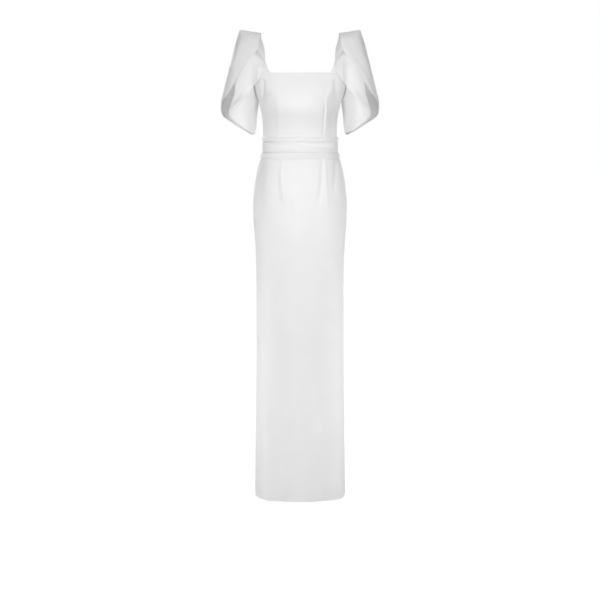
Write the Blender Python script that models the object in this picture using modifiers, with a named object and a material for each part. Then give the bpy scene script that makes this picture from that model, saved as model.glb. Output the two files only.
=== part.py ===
"""Long dress: a column gown with a square neckline, petal sleeves and a draped waistband.

Metres, +Z up, the front faces -Y. The origin is where the shoulders carry the dress: midway between
the two straps, at the height of their underside. The hem hangs at z = HEM.
"""
import math

import bmesh
import bpy
from mathutils import Matrix, Vector

COLLECTION = "long_dress"
CUTTERS = "cutters"
SIDES = ((1.0, "left"), (-1.0, "right"))

# Driving dimensions
WALL = 0.0020          # cloth wall, a turned and fused crepe
SEAM = 0.0003          # gap between two pieces at a seam, and between cloth that lies on cloth
HEM = -1.518
WAIST_SEAM = -0.356
NECKLINE = -0.1225
BACK_NECKLINE = -0.142
SLIT_TOP = -1.040      # the centre back seam is open below this
SLIT_HALF = 0.0040     # half the slit's width at the hem

# The body of the dress: outer surface at a row of heights
BODY_COLUMNS = ("z", "half_width", "front", "back", "square")
BODY_ROWS = (
    (-0.1200, 0.1790, 0.1040, 0.0990, 2.30),
    (-0.1420, 0.1690, 0.1140, 0.1040, 2.30),
    (-0.1600, 0.1600, 0.1220, 0.1060, 2.30),
    (-0.1820, 0.1483, 0.1305, 0.1075, 2.35),
    (-0.2000, 0.1395, 0.1350, 0.1080, 2.40),
    (-0.2150, 0.1330, 0.1370, 0.1075, 2.40),
    (-0.2284, 0.1300, 0.1355, 0.1065, 2.40),
    (-0.2574, 0.1238, 0.1240, 0.1030, 2.35),
    (-0.2900, 0.1212, 0.1090, 0.0970, 2.30),
    (-0.3250, 0.1202, 0.0965, 0.0900, 2.25),
    (-0.3500, 0.1194, 0.0910, 0.0870, 2.20),
    (-0.3720, 0.1204, 0.0930, 0.0895, 2.20),
    (-0.3966, 0.1292, 0.1000, 0.0990, 2.20),
    (-0.4226, 0.1370, 0.1065, 0.1115, 2.20),
    (-0.4617, 0.1452, 0.1130, 0.1260, 2.25),
    (-0.5009, 0.1504, 0.1175, 0.1370, 2.30),
    (-0.5402, 0.1534, 0.1200, 0.1420, 2.30),
    (-0.5796, 0.1537, 0.1215, 0.1420, 2.30),
    (-0.6389, 0.1497, 0.1220, 0.1370, 2.25),
    (-0.7182, 0.1457, 0.1210, 0.1280, 2.25),
    (-0.8000, 0.1441, 0.1190, 0.1220, 2.20),
    (-0.9300, 0.1445, 0.1170, 0.1180, 2.20),
    (-1.0664, 0.1452, 0.1165, 0.1160, 2.20),
    (-1.2706, 0.1480, 0.1180, 0.1170, 2.35),
    (-1.5180, 0.1511, 0.1200, 0.1190, 2.60),
)

# Edges of the pieces that are cut from the body and from the sleeve's bell, at a row of heights
EDGE_COLUMNS = ("z", "angle")

# The armhole's edge: degrees round from the side seam
FRONT_ARMHOLE_ROWS = (
    (-0.2125, 0.0), (-0.2080, 4.0), (-0.2000, 8.5), (-0.1820, 16.6), (-0.1600, 26.0), (-0.1225, 36.0),
)
BACK_ARMHOLE_ROWS = (
    (-0.2125, 0.0), (-0.2080, 4.0), (-0.2000, 9.0), (-0.1820, 18.0), (-0.1600, 28.0), (-0.1420, 34.0),
)

# The strap from the front seam over the shoulder to the back seam: its edges and how far it rolls in
STRAP_COLUMNS = ("inner_x", "outer_x", "y", "z", "roll")
STRAP_ROWS = (
    (0.0940, 0.1520, -0.0905, -0.1225, 0.000),
    (0.1000, 0.1515, -0.0870, -0.1140, 0.000),
    (0.1055, 0.1510, -0.0805, -0.1020, 0.001),
    (0.1110, 0.1505, -0.0705, -0.0840, 0.005),
    (0.1118, 0.1510, -0.0590, -0.0620, 0.011),
    (0.1150, 0.1530, -0.0465, -0.0400, 0.012),
    (0.1210, 0.1560, -0.0335, -0.0200, 0.009),
    (0.1262, 0.1590, -0.0160, -0.0050, 0.003),
    (0.1285, 0.1600, 0.0000, 0.0018, 0.000),
    (0.1280, 0.1590, 0.0160, -0.0050, 0.000),
    (0.1260, 0.1570, 0.0350, -0.0230, 0.000),
    (0.1230, 0.1545, 0.0540, -0.0520, 0.000),
    (0.1190, 0.1520, 0.0720, -0.0900, 0.000),
    (0.1100, 0.1500, 0.0830, -0.1420, 0.000),
)

# The bell of the sleeve, by its drop below the shoulder ridge
SLEEVE_COLUMNS = ("drop", "outer_x", "centre_x", "inner_width", "depth")
SLEEVE_ROWS = (
    (0.0000, 0.1930, 0.1320, 0.0500, 0.0000),
    (0.0030, 0.1940, 0.1320, 0.0500, 0.0140),
    (0.0115, 0.1968, 0.1320, 0.0500, 0.0300),
    (0.0260, 0.2017, 0.1322, 0.0500, 0.0460),
    (0.0460, 0.2084, 0.1330, 0.0510, 0.0605),
    (0.0660, 0.2146, 0.1350, 0.0525, 0.0710),
    (0.0860, 0.2203, 0.1390, 0.0540, 0.0765),
    (0.1267, 0.2316, 0.1550, 0.0560, 0.0820),
    (0.1795, 0.2446, 0.1840, 0.0570, 0.0850),
    (0.2150, 0.2525, 0.1940, 0.0590, 0.0865),
    (0.2290, 0.2555, 0.1965, 0.0612, 0.0870),
    (0.2437, 0.2590, 0.1980, 0.0609, 0.0875),
    (0.2630, 0.2605, 0.1998, 0.0598, 0.0880),
    (0.3010, 0.2605, 0.2020, 0.0588, 0.0885),
    (0.3310, 0.2605, 0.2030, 0.0550, 0.0890),
)
RIDGE_OUTER = 0.0153   # height of the shoulder ridge at its outer corner
RIDGE_CORNER = 0.1930
RIDGE_SLOPE = 0.155
RIDGE_FADE = 0.120     # below this drop the rows of the sleeve are level
OUTER_PETAL_HEM = -0.3178

# Edges of the sleeve's pieces on the bell: degrees round from the outer side, front positive
OUTER_FRONT_EDGE = (
    (RIDGE_OUTER, 97.0), (-0.0200, 94.0), (-0.0557, 87.0), (-0.0810, 75.0), (-0.1250, 65.0), (-0.1530, 62.0),
    (-0.1860, 48.0), (-0.2035, 27.0), (-0.2110, 13.0), (-0.2200, 0.0), (-0.2300, -6.0), (-0.2420, -12.0),
    (-0.2515, -19.0), (-0.2615, -33.0), (-0.2712, -50.0), (-0.2808, -66.0), (-0.2903, -80.5),
    (-0.2998, -96.0), (-0.3090, -114.0), (-0.3150, -131.0), (OUTER_PETAL_HEM, -147.0),
)
OUTER_BACK_EDGE = (
    (RIDGE_OUTER, -97.0), (-0.0200, -97.0), (-0.1000, -108.0), (-0.1400, -119.0), (-0.1600, -130.0),
    (-0.1820, -145.0), (-0.2000, -159.0), (-0.2125, -179.7), (-0.3050, -179.7), (-0.3120, -176.0),
    (OUTER_PETAL_HEM, -167.0),
)
LOWER_OUTER_EDGE = (
    (-0.1400, 92.0), (-0.1700, 78.0), (-0.2000, 69.0), (-0.2350, 67.0), (-0.2430, 67.5), (-0.2554, 68.0),
    (-0.2620, 71.0), (-0.2690, 78.0), (-0.2780, 89.0), (-0.2890, 103.0), (-0.2990, 118.0), (-0.3080, 138.0),
    (-0.3150, 160.0),
)
LOWER_INNER_EDGE = (
    (-0.1400, 120.0), (-0.1600, 130.0), (-0.1820, 145.0), (-0.2000, 159.0), (-0.2125, 179.7),
    (-0.3050, 179.7), (-0.3150, 174.0),
)

# The drape: ribs from the strap to its free end, each from under the outer petal to its own lower edge
DRAPE_COLUMNS = ("top_x", "top_y", "top_z", "low_x", "low_y", "low_z", "bulge")
DRAPE_ROWS = (
    (0.1520, -0.0570, -0.0400, 0.1360, -0.0580, -0.0520, 0.000),
    (0.1620, -0.0650, -0.0560, 0.1225, -0.0700, -0.0700, 0.002),
    (0.1700, -0.0690, -0.0720, 0.1120, -0.0810, -0.0900, 0.004),
    (0.1780, -0.0720, -0.0890, 0.1120, -0.0910, -0.1170, 0.005),
    (0.1860, -0.0720, -0.1040, 0.1275, -0.0920, -0.1390, 0.006),
    (0.1940, -0.0700, -0.1190, 0.1530, -0.0890, -0.1690, 0.005),
    (0.2000, -0.0680, -0.1330, 0.1850, -0.0850, -0.2040, 0.003),
    (0.2060, -0.0650, -0.1450, 0.2123, -0.0760, -0.2350, 0.002),
)

LAYER = WALL + 0.0012  # how far each layer of the sleeve lies inside the one over it
DRAPE_LEAVES_BELL = 0.136
DRAPE_BLEND = 0.018

# The waistband's folds, each laid over the one below: height and distance off the body of its outer face
FOLD_COLUMNS = ("z", "out")
WAISTBAND_FOLDS = {
    "waistband_upper": ((-0.3265, 0.0028), (-0.3300, 0.0045), (-0.3360, 0.0052), (-0.3405, 0.0053)),
    "waistband_middle": ((-0.3412, 0.0027), (-0.3470, 0.0047), (-0.3600, 0.0050), (-0.3728, 0.0051)),
    "waistband_lower": ((-0.3735, 0.0027), (-0.3785, 0.0043), (-0.3850, 0.0038), (-0.3915, 0.0029)),
}

IVORY = (0.80, 0.80, 0.79, 1.0)
ZIP_WHITE = (0.72, 0.72, 0.71, 1.0)


def smooth(rows, columns, key, value):
    """Read one named column of a table at a key, as a smooth curve through its rows."""
    at = columns.index(value)
    by = columns.index(key)
    keys = [row[by] for row in rows]
    values = [row[at] for row in rows]
    if keys[0] > keys[-1]:
        keys.reverse()
        values.reverse()

    def read(x):
        if x <= keys[0]:
            return values[0]
        if x >= keys[-1]:
            return values[-1]
        i = next(n for n in range(len(keys) - 1) if x <= keys[n + 1])
        span = keys[i + 1] - keys[i]

        def slope(n):
            if n <= 0 or n >= len(keys) - 1:
                return None
            before = (values[n] - values[n - 1]) / (keys[n] - keys[n - 1])
            after = (values[n + 1] - values[n]) / (keys[n + 1] - keys[n])
            if before * after <= 0.0:
                return 0.0
            return 2.0 * before * after / (before + after)

        chord = (values[i + 1] - values[i]) / span
        start = slope(i)
        end = slope(i + 1)
        start = chord if start is None else start
        end = chord if end is None else end
        t = (x - keys[i]) / span
        return (
            values[i] * (2 * t**3 - 3 * t**2 + 1)
            + start * span * (t**3 - 2 * t**2 + t)
            + values[i + 1] * (3 * t**2 - 2 * t**3)
            + end * span * (t**3 - t**2)
        )

    return read


BODY = {name: smooth(BODY_ROWS, BODY_COLUMNS, "z", name) for name in BODY_COLUMNS[1:]}
SLEEVE = {name: smooth(SLEEVE_ROWS, SLEEVE_COLUMNS, "drop", name) for name in SLEEVE_COLUMNS[1:]}


def edge_curve(rows):
    """An edge as degrees round at each height, read as radians."""
    read = smooth(rows, EDGE_COLUMNS, "z", "angle")
    return lambda z: math.radians(read(z))


def mix(a, b, t):
    return a + (b - a) * t


def between(rows, columns, at):
    """Read every named column of a table at a row number with a fraction, straight from row to row."""
    i = min(int(at), len(rows) - 2)
    low = dict(zip(columns, rows[i]))
    high = dict(zip(columns, rows[i + 1]))
    return {name: mix(low[name], high[name], at - i) for name in columns}


def signed_power(value, power):
    return math.copysign(abs(value) ** power, value)


def body_point(angle, z, out=0.0):
    """A point of the body: the angle goes round from the side, front positive; out is off the surface."""
    power = 2.0 / BODY["square"](z)
    depth = BODY["front"](z) if angle >= 0.0 else BODY["back"](z)
    x = (BODY["half_width"](z) + out) * signed_power(math.cos(angle), power)
    y = -(depth + out) * signed_power(math.sin(angle), power)
    return Vector((x, y, z))


def body_angle(x, z):
    """The angle from the side at which the body is x from its middle."""
    share = min(1.0, abs(x) / BODY["half_width"](z))
    return math.acos(share ** (BODY["square"](z) / 2.0))


def sleeve_point(angle, z, inset=0.0):
    """A point of the sleeve's bell: the angle goes round from the outer side, front positive."""
    drop = RIDGE_OUTER - z
    outer = SLEEVE["outer_x"](drop) - inset
    centre = SLEEVE["centre_x"](drop)
    inner = SLEEVE["inner_width"](drop) - inset
    depth = max(0.0, SLEEVE["depth"](drop) - inset)
    width = outer - centre if math.cos(angle) >= 0.0 else inner
    x = centre + width * math.cos(angle)
    fade = max(0.0, 1.0 - drop / RIDGE_FADE)
    return Vector((x, -depth * math.sin(angle), z + (x - RIDGE_CORNER) * RIDGE_SLOPE * fade * fade))


def bell_front(x, z, inset):
    """How far forward the front of the sleeve's bell lies at x and z."""
    level = z
    for _ in range(4):
        fade = max(0.0, 1.0 - (RIDGE_OUTER - level) / RIDGE_FADE)
        level = z - (x - RIDGE_CORNER) * RIDGE_SLOPE * fade * fade
    drop = RIDGE_OUTER - level
    centre = SLEEVE["centre_x"](drop)
    width = (SLEEVE["outer_x"](drop) - centre if x > centre else SLEEVE["inner_width"](drop)) - inset
    share = min(0.98, abs(x - centre) / width)
    return -(SLEEVE["depth"](drop) - inset) * math.sqrt(1.0 - share * share)


def material(name, colour, roughness, metallic=0.0):
    made = bpy.data.materials.new(name)
    made.use_nodes = True
    shader = made.node_tree.nodes["Principled BSDF"]
    shader.inputs["Base Color"].default_value = colour
    shader.inputs["Roughness"].default_value = roughness
    shader.inputs["Metallic"].default_value = metallic
    return made


def add_object(name, mesh, finish):
    made = bpy.data.objects.new(name, mesh)
    made.data.materials.append(finish)
    bpy.data.collections[COLLECTION].objects.link(made)
    return made


def cloth(name, columns, rows, place, flip=False, weld=0.0, wall=WALL, tone=1.0):
    """A sheet whose points are placed by a function of u across and v down, with a wall behind it."""
    sheet = bmesh.new()
    bmesh.ops.create_grid(sheet, x_segments=columns, y_segments=rows, size=0.5)
    for vert in sheet.verts:
        vert.co = place(round(vert.co.x + 0.5, 6), round(0.5 - vert.co.y, 6))
    if weld:
        bmesh.ops.remove_doubles(sheet, verts=sheet.verts, dist=weld)
    if flip:
        bmesh.ops.reverse_faces(sheet, faces=sheet.faces)
    mesh = bpy.data.meshes.new(name)
    sheet.to_mesh(mesh)
    sheet.free()
    mesh.shade_smooth()
    colour = tuple(channel * tone for channel in IVORY[:3]) + (1.0,)
    made = add_object(name, mesh, material(name, colour, 0.6))
    solid = made.modifiers.new("wall", "SOLIDIFY")
    solid.thickness = wall
    solid.offset = -1.0
    solid.use_even_offset = True
    solid.use_quality_normals = True
    return made


def spaced(rows_at, v):
    """Read a list of heights at a share v of the way down it."""
    place = v * (len(rows_at) - 1)
    i = min(int(place), len(rows_at) - 2)
    return mix(rows_at[i], rows_at[i + 1], place - i)


# Body panels

FRONT_COLUMNS = 24
BACK_COLUMNS = 12
BODICE_HEIGHTS = (
    -0.1600, -0.1820, -0.2000, -0.2080, -0.2200, -0.2430, -0.2700, -0.3000, -0.3265, -0.3415,
    WAIST_SEAM + SEAM / 2,
)
SKIRT_HEIGHTS = (
    WAIST_SEAM - SEAM / 2, -0.3735, -0.3850, -0.3950, -0.4080, -0.4270, -0.4520, -0.4850, -0.5250, -0.5700,
    -0.6200, -0.6900, -0.7800, -0.9000, SLIT_TOP, -1.2000, -1.3600, HEM,
)


def side_gap(z):
    """The angle that half a seam's gap takes at the side of the body."""
    return (SEAM / 2 / BODY["front"](z)) ** (BODY["square"](z) / 2.0)


def build_bodice():
    front_armhole = edge_curve(FRONT_ARMHOLE_ROWS)
    back_armhole = edge_curve(BACK_ARMHOLE_ROWS)
    front_heights = (NECKLINE, -0.1400) + BODICE_HEIGHTS
    back_heights = (BACK_NECKLINE,) + BODICE_HEIGHTS

    def front(u, v):
        z = spaced(front_heights, v)
        edge = max(front_armhole(z), side_gap(z))
        return body_point(mix(edge, math.pi - edge, u), z)

    cloth("bodice_front", FRONT_COLUMNS, len(front_heights) - 1, front, flip=True)

    def back(side):
        def place(u, v):
            z = spaced(back_heights, v)
            edge = max(back_armhole(z), side_gap(z))
            middle = body_angle(SEAM / 2, z)
            point = body_point(-mix(edge, middle, u), z)
            return Vector((side * point.x, point.y, point.z))

        return place

    for side, label in SIDES:
        cloth("bodice_back_" + label, BACK_COLUMNS, len(back_heights) - 1, back(side), flip=side < 0)


def build_skirt():
    def front(u, v):
        z = spaced(SKIRT_HEIGHTS, v)
        edge = side_gap(z)
        return body_point(mix(edge, math.pi - edge, u), z)

    rows = len(SKIRT_HEIGHTS) - 1
    cloth("skirt_front", FRONT_COLUMNS, rows, front, flip=True, tone=0.97)

    def slit(z):
        open_share = max(0.0, (SLIT_TOP - z) / (SLIT_TOP - HEM))
        return mix(SEAM / 2, SLIT_HALF, open_share)

    def back(side):
        def place(u, v):
            z = spaced(SKIRT_HEIGHTS, v)
            point = body_point(-mix(side_gap(z), body_angle(slit(z), z), u), z)
            return Vector((side * point.x, point.y, point.z))

        return place

    for side, label in SIDES:
        cloth("skirt_back_" + label, BACK_COLUMNS, rows, back(side), flip=side < 0, tone=0.97)


def build_waistband():
    for name, rows in WAISTBAND_FOLDS.items():
        def place(u, v, rows=rows):
            now = between(rows, FOLD_COLUMNS, v * (len(rows) - 1))
            gap = math.pi / 2 - body_angle(SEAM, now["z"])
            angle = mix(-math.pi / 2 + gap, 3 * math.pi / 2 - gap, u)
            wrapped = angle if angle <= math.pi else angle - 2 * math.pi
            return body_point(wrapped, now["z"], now["out"])

        cloth(name, 2 * FRONT_COLUMNS, len(rows) - 1, place, flip=True, tone=0.94)


# Straps and sleeves

STRAP_ACROSS = 4
STRAP_ALONG = 20
STRAP_ROLL_SHARE = 1 / 2   # the share of its width that rolls in
STRAP_SEAT_SHARE = 1 / 3   # the share of its length that leads on to each seam


def strap_place(side):
    def place(u, v):
        now = between(STRAP_ROWS, STRAP_COLUMNS, v * (len(STRAP_ROWS) - 1))
        x = mix(now["inner_x"], now["outer_x"], u)
        roll = now["roll"] * (1.0 - min(1.0, u / STRAP_ROLL_SHARE)) ** 2
        point = Vector((x, now["y"] + roll, now["z"]))
        front_seat = max(0.0, 1.0 - v / STRAP_SEAT_SHARE)
        back_seat = max(0.0, 1.0 - (1.0 - v) / STRAP_SEAT_SHARE)
        if front_seat > 0.0:
            on_body = body_point(body_angle(x, min(point.z, NECKLINE)), NECKLINE)
            point.y = mix(point.y, on_body.y, front_seat**2)
            point.z += 2 * SEAM * front_seat
        if back_seat > 0.0:
            on_body = body_point(-body_angle(x, BACK_NECKLINE), BACK_NECKLINE)
            point.y = mix(point.y, on_body.y, back_seat**2)
            point.z += 2 * SEAM * back_seat
        return Vector((side * point.x, point.y, point.z))

    return place


def build_straps():
    for side, label in SIDES:
        cloth("strap_" + label, STRAP_ACROSS, STRAP_ALONG, strap_place(side), flip=side > 0, tone=0.95)


OUTER_COLUMNS = 18
LOWER_COLUMNS = 9
DRAPE_ALONG = 14
DRAPE_ACROSS = 6
RIDGE_WELD = 0.0001    # the front and back of the outer petal are one cloth at the ridge
UNDERARM_JOIN = math.radians(140.0)   # from here round, the lower petal comes out to meet the outer one
OUTER_HEIGHTS = (
    RIDGE_OUTER, 0.0123, 0.0038, -0.0107, -0.0307, -0.0507, -0.0750, -0.1000, -0.1250, -0.1500, -0.1700,
    -0.1860, -0.2000, -0.2125, -0.2210, -0.2300, -0.2400, -0.2500, -0.2590, -0.2680, -0.2780, -0.2880,
    -0.2980, -0.3055, -0.3118, OUTER_PETAL_HEM,
)
LOWER_HEIGHTS = (
    -0.1400, -0.1600, -0.1820, -0.2000, -0.2125, -0.2250, -0.2350, -0.2430, -0.2500, -0.2560, -0.2620,
    -0.2690, -0.2780, -0.2880, -0.2980, -0.3070, -0.3150,
)


def build_sleeves():
    outer_front = edge_curve(OUTER_FRONT_EDGE)
    outer_back = edge_curve(OUTER_BACK_EDGE)
    lower_outer = edge_curve(LOWER_OUTER_EDGE)
    lower_inner = edge_curve(LOWER_INNER_EDGE)

    def outer(side):
        def place(u, v):
            z = spaced(OUTER_HEIGHTS, v)
            point = sleeve_point(mix(outer_front(z), outer_back(z), u), z)
            return Vector((side * point.x, point.y, point.z))

        return place

    def lower(side):
        def place(u, v):
            z = spaced(LOWER_HEIGHTS, v)
            angle = mix(lower_outer(z), lower_inner(z), u)
            joined = (angle - UNDERARM_JOIN) / (math.pi - UNDERARM_JOIN)
            under = 1.0 - max(0.0, min(1.0, joined))
            point = sleeve_point(angle, z, 2 * LAYER * under)
            return Vector((side * point.x, point.y, point.z))

        return place

    def drape(side):
        ribs = [(n,) + row for n, row in enumerate(DRAPE_ROWS)]
        columns = ("rib",) + DRAPE_COLUMNS
        reads = {name: smooth(ribs, columns, "rib", name) for name in DRAPE_COLUMNS}

        def place(u, v):
            rib = u * (len(DRAPE_ROWS) - 1)
            now = {name: read(rib) for name, read in reads.items()}
            x = mix(now["top_x"], now["low_x"], v)
            z = mix(now["top_z"], now["low_z"], v)
            free = mix(now["top_y"], now["low_y"], v) - now["bulge"] * 4.0 * v * (1.0 - v)
            on_bell = max(0.0, min(1.0, (x - DRAPE_LEAVES_BELL) / DRAPE_BLEND))
            return Vector((side * x, mix(free, bell_front(x, z, LAYER), on_bell), z))

        return place

    for side, label in SIDES:
        rows = len(OUTER_HEIGHTS) - 1
        name = "sleeve_outer_" + label
        cloth(name, OUTER_COLUMNS, rows, outer(side), flip=side < 0, weld=RIDGE_WELD, tone=0.85)
        rows = len(LOWER_HEIGHTS) - 1
        cloth("sleeve_lower_" + label, LOWER_COLUMNS, rows, lower(side), flip=side > 0)
        cloth("sleeve_drape_" + label, DRAPE_ALONG, DRAPE_ACROSS, drape(side), flip=side < 0, tone=0.92)


# The zip's slider and pull tab, at the top of the centre back seam

ZIP_TOP = -0.1560      # the pin that the pull tab turns on
PIN_OFF = 0.0045       # the pin's distance off the cloth
PIN_RADIUS = 0.0006
PULL_BORE = 0.0009
KNUCKLE_RADIUS = 0.0017
KNUCKLE_WIDTH = 0.0032
PULL_LENGTH = 0.0240
PULL_THICKNESS = 0.0012
PULL_WIDTH = 0.0060
PLATE_TOP = -0.0012    # the tab's plate starts inside the knuckle
PLATE_SHOULDER = -0.0050
PLATE_END_STEPS = 8
SLIDER_SIZE = (0.0070, 0.0022, 0.0100)
SLIDER_BEVEL = 0.0005
SLIDER_BELOW_PIN = 0.0028
EAR_SIZE = (0.0012, 0.0044, 0.0034)
EAR_X = 0.0025
EAR_OFF = 0.0040       # the middle of each ear, off the cloth


def block(name, size, centre, bevel=0.0):
    shape = bmesh.new()
    bmesh.ops.create_cube(shape, size=1.0)
    for vert in shape.verts:
        vert.co = Vector(vert.co[i] * size[i] + centre[i] for i in range(3))
    if bevel:
        bmesh.ops.bevel(shape, geom=shape.edges, offset=bevel, segments=1, affect="EDGES")
    mesh = bpy.data.meshes.new(name)
    shape.to_mesh(mesh)
    shape.free()
    return bpy.data.objects.new(name, mesh)


def rod(name, radius, length, centre, sides=16):
    """A cylinder along X."""
    shape = bmesh.new()
    bmesh.ops.create_cone(shape, cap_ends=True, segments=sides, radius1=radius, radius2=radius, depth=length)
    bmesh.ops.rotate(shape, verts=shape.verts, matrix=Matrix.Rotation(math.pi / 2, 3, "Y"))
    bmesh.ops.translate(shape, verts=shape.verts, vec=Vector(centre))
    mesh = bpy.data.meshes.new(name)
    shape.to_mesh(mesh)
    shape.free()
    return bpy.data.objects.new(name, mesh)


def combine(base, others, operation):
    """Join or cut the base by the other shapes, which go to the collection of cutters."""
    for other in others:
        bpy.data.collections[CUTTERS].objects.link(other)
        other.hide_render = True
        other.display_type = "WIRE"
        step = base.modifiers.new(other.name, "BOOLEAN")
        step.operation = operation
        step.solver = "EXACT"
        step.object = other


def build_zip():
    seat = body_point(-math.pi / 2, ZIP_TOP)
    below = body_point(-math.pi / 2, ZIP_TOP - 0.010)
    tilt = math.atan2(below.y - seat.y, seat.z - below.z)
    pin = seat + Vector((0.0, PIN_OFF * math.cos(tilt), PIN_OFF * math.sin(tilt)))
    finish = material("zip", ZIP_WHITE, 0.4)

    middle = (0.0, SEAM + SLIDER_SIZE[1] / 2, -SLIDER_BELOW_PIN)
    slider = block("zip_slider", SLIDER_SIZE, middle, SLIDER_BEVEL)
    slider.data.materials.append(finish)
    bpy.data.collections[COLLECTION].objects.link(slider)
    ears = [block("ear_" + label, EAR_SIZE, (side * EAR_X, EAR_OFF, 0.0)) for side, label in SIDES]
    bar = rod("pin", PIN_RADIUS, 2 * EAR_X, (0.0, PIN_OFF, 0.0), 12)
    slider.location = seat
    slider.rotation_euler = (tilt, 0.0, 0.0)
    for piece in ears + [bar]:
        piece.location = seat
        piece.rotation_euler = (tilt, 0.0, 0.0)
    combine(slider, ears + [bar], "UNION")

    pull = rod("zip_pull", KNUCKLE_RADIUS, KNUCKLE_WIDTH, (0.0, 0.0, 0.0))
    pull.data.materials.append(finish)
    bpy.data.collections[COLLECTION].objects.link(pull)
    plate = pull_plate()
    bore = rod("pull_bore", PULL_BORE, 2 * KNUCKLE_WIDTH, (0.0, 0.0, 0.0))
    for piece in (pull, plate, bore):
        piece.location = pin
    combine(pull, [plate], "UNION")
    combine(pull, [bore], "DIFFERENCE")


def pull_plate():
    """The tab's flat drop shape: narrow at the knuckle, round at its end."""
    shape = bmesh.new()
    half = KNUCKLE_WIDTH / 2
    wide = PULL_WIDTH / 2
    outline = [(-half, PLATE_TOP), (-half, PLATE_SHOULDER)]
    for n in range(PLATE_END_STEPS + 1):
        turn = math.pi + math.pi * n / PLATE_END_STEPS
        outline.append((wide * math.cos(turn), -PULL_LENGTH + wide + wide * math.sin(turn)))
    outline += [(half, PLATE_SHOULDER), (half, PLATE_TOP)]
    ring = [shape.verts.new((x, -PULL_THICKNESS / 2, z)) for x, z in outline]
    face = shape.faces.new(ring)
    grown = bmesh.ops.extrude_face_region(shape, geom=[face])
    moved = [item for item in grown["geom"] if isinstance(item, bmesh.types.BMVert)]
    bmesh.ops.translate(shape, verts=moved, vec=Vector((0.0, PULL_THICKNESS, 0.0)))
    bmesh.ops.recalc_face_normals(shape, faces=shape.faces)
    mesh = bpy.data.meshes.new("pull_plate")
    shape.to_mesh(mesh)
    shape.free()
    return bpy.data.objects.new("pull_plate", mesh)


def main():
    for old in list(bpy.data.objects):
        bpy.data.objects.remove(old)
    home = bpy.data.collections.new(COLLECTION)
    cutters = bpy.data.collections.new(CUTTERS)
    bpy.context.scene.collection.children.link(home)
    bpy.context.scene.collection.children.link(cutters)
    build_bodice()
    build_skirt()
    build_waistband()
    build_straps()
    build_sleeves()
    build_zip()


main()
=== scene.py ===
"""Long dress in ivory crepe: its cloth, folds, sewing and zip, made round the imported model.

Metres, +Z up, the front faces -Y. The dress hangs from the origin, between its two straps.
"""
import math

import bmesh
import bpy
import numpy as np
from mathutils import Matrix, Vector


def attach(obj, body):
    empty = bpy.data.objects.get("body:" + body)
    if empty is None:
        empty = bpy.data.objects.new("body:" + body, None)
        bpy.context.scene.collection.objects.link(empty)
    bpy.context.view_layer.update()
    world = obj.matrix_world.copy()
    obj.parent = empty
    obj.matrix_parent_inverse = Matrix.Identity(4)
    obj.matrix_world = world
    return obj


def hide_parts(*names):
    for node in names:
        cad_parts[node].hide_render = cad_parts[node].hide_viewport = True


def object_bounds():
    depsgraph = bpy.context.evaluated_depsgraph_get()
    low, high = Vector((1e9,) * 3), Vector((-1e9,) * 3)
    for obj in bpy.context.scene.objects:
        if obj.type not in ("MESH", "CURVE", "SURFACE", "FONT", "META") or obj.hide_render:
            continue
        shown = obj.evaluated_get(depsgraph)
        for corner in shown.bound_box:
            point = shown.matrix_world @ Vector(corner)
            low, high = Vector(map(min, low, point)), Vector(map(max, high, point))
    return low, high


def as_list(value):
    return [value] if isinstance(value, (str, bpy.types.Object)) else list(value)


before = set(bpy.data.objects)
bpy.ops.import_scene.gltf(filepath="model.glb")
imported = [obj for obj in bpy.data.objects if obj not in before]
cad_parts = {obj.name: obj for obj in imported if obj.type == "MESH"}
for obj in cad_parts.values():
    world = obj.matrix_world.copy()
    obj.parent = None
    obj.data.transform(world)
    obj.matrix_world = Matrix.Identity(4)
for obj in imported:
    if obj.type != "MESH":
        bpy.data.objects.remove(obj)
cad_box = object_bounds()

BODY = "dress"
SIDES = ((1.0, "left"), (-1.0, "right"))


def add_node(tree, kind, given=None, **settings):
    """A node with its sockets filled in: another node's socket is linked, and a value is set."""
    node = tree.nodes.new(kind)
    for name, value in settings.items():
        setattr(node, name, value)
    for socket, value in (given or {}).items():
        if isinstance(value, bpy.types.NodeSocket):
            tree.links.new(value, node.inputs[socket])
        else:
            node.inputs[socket].default_value = value
    return node


# Camera, floor and studio light

EYE = Vector((0.0, -4.5, -0.254))
AIM = Vector((0.0, 0.0, -0.863))
FRAME_WIDTH = 600 * 0.003312      # metres across the picture at the dress
SENSOR = 36.0
WORLD_LIGHT = 0.76                # how strongly the white studio lights the cloth
SIDE_LIGHT = 0.04                 # the same for its greyer side walls
WALLS_BEGIN = 0.22                # how far sideways a direction points where the walls begin
WALLS_FULL = 0.72                 # and where they are at their greyest
FLOOR_DROP = 0.012                # the hem hangs just clear of the floor
FLOOR_RADIUS = 14.0
FLOOR_GREY = (0.50, 0.50, 0.50, 1.0)
FLOOR_GLOW = 1.12                 # how bright the floor is to the eye
FLOOR_GLOW_SHARE = 0.92

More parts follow.
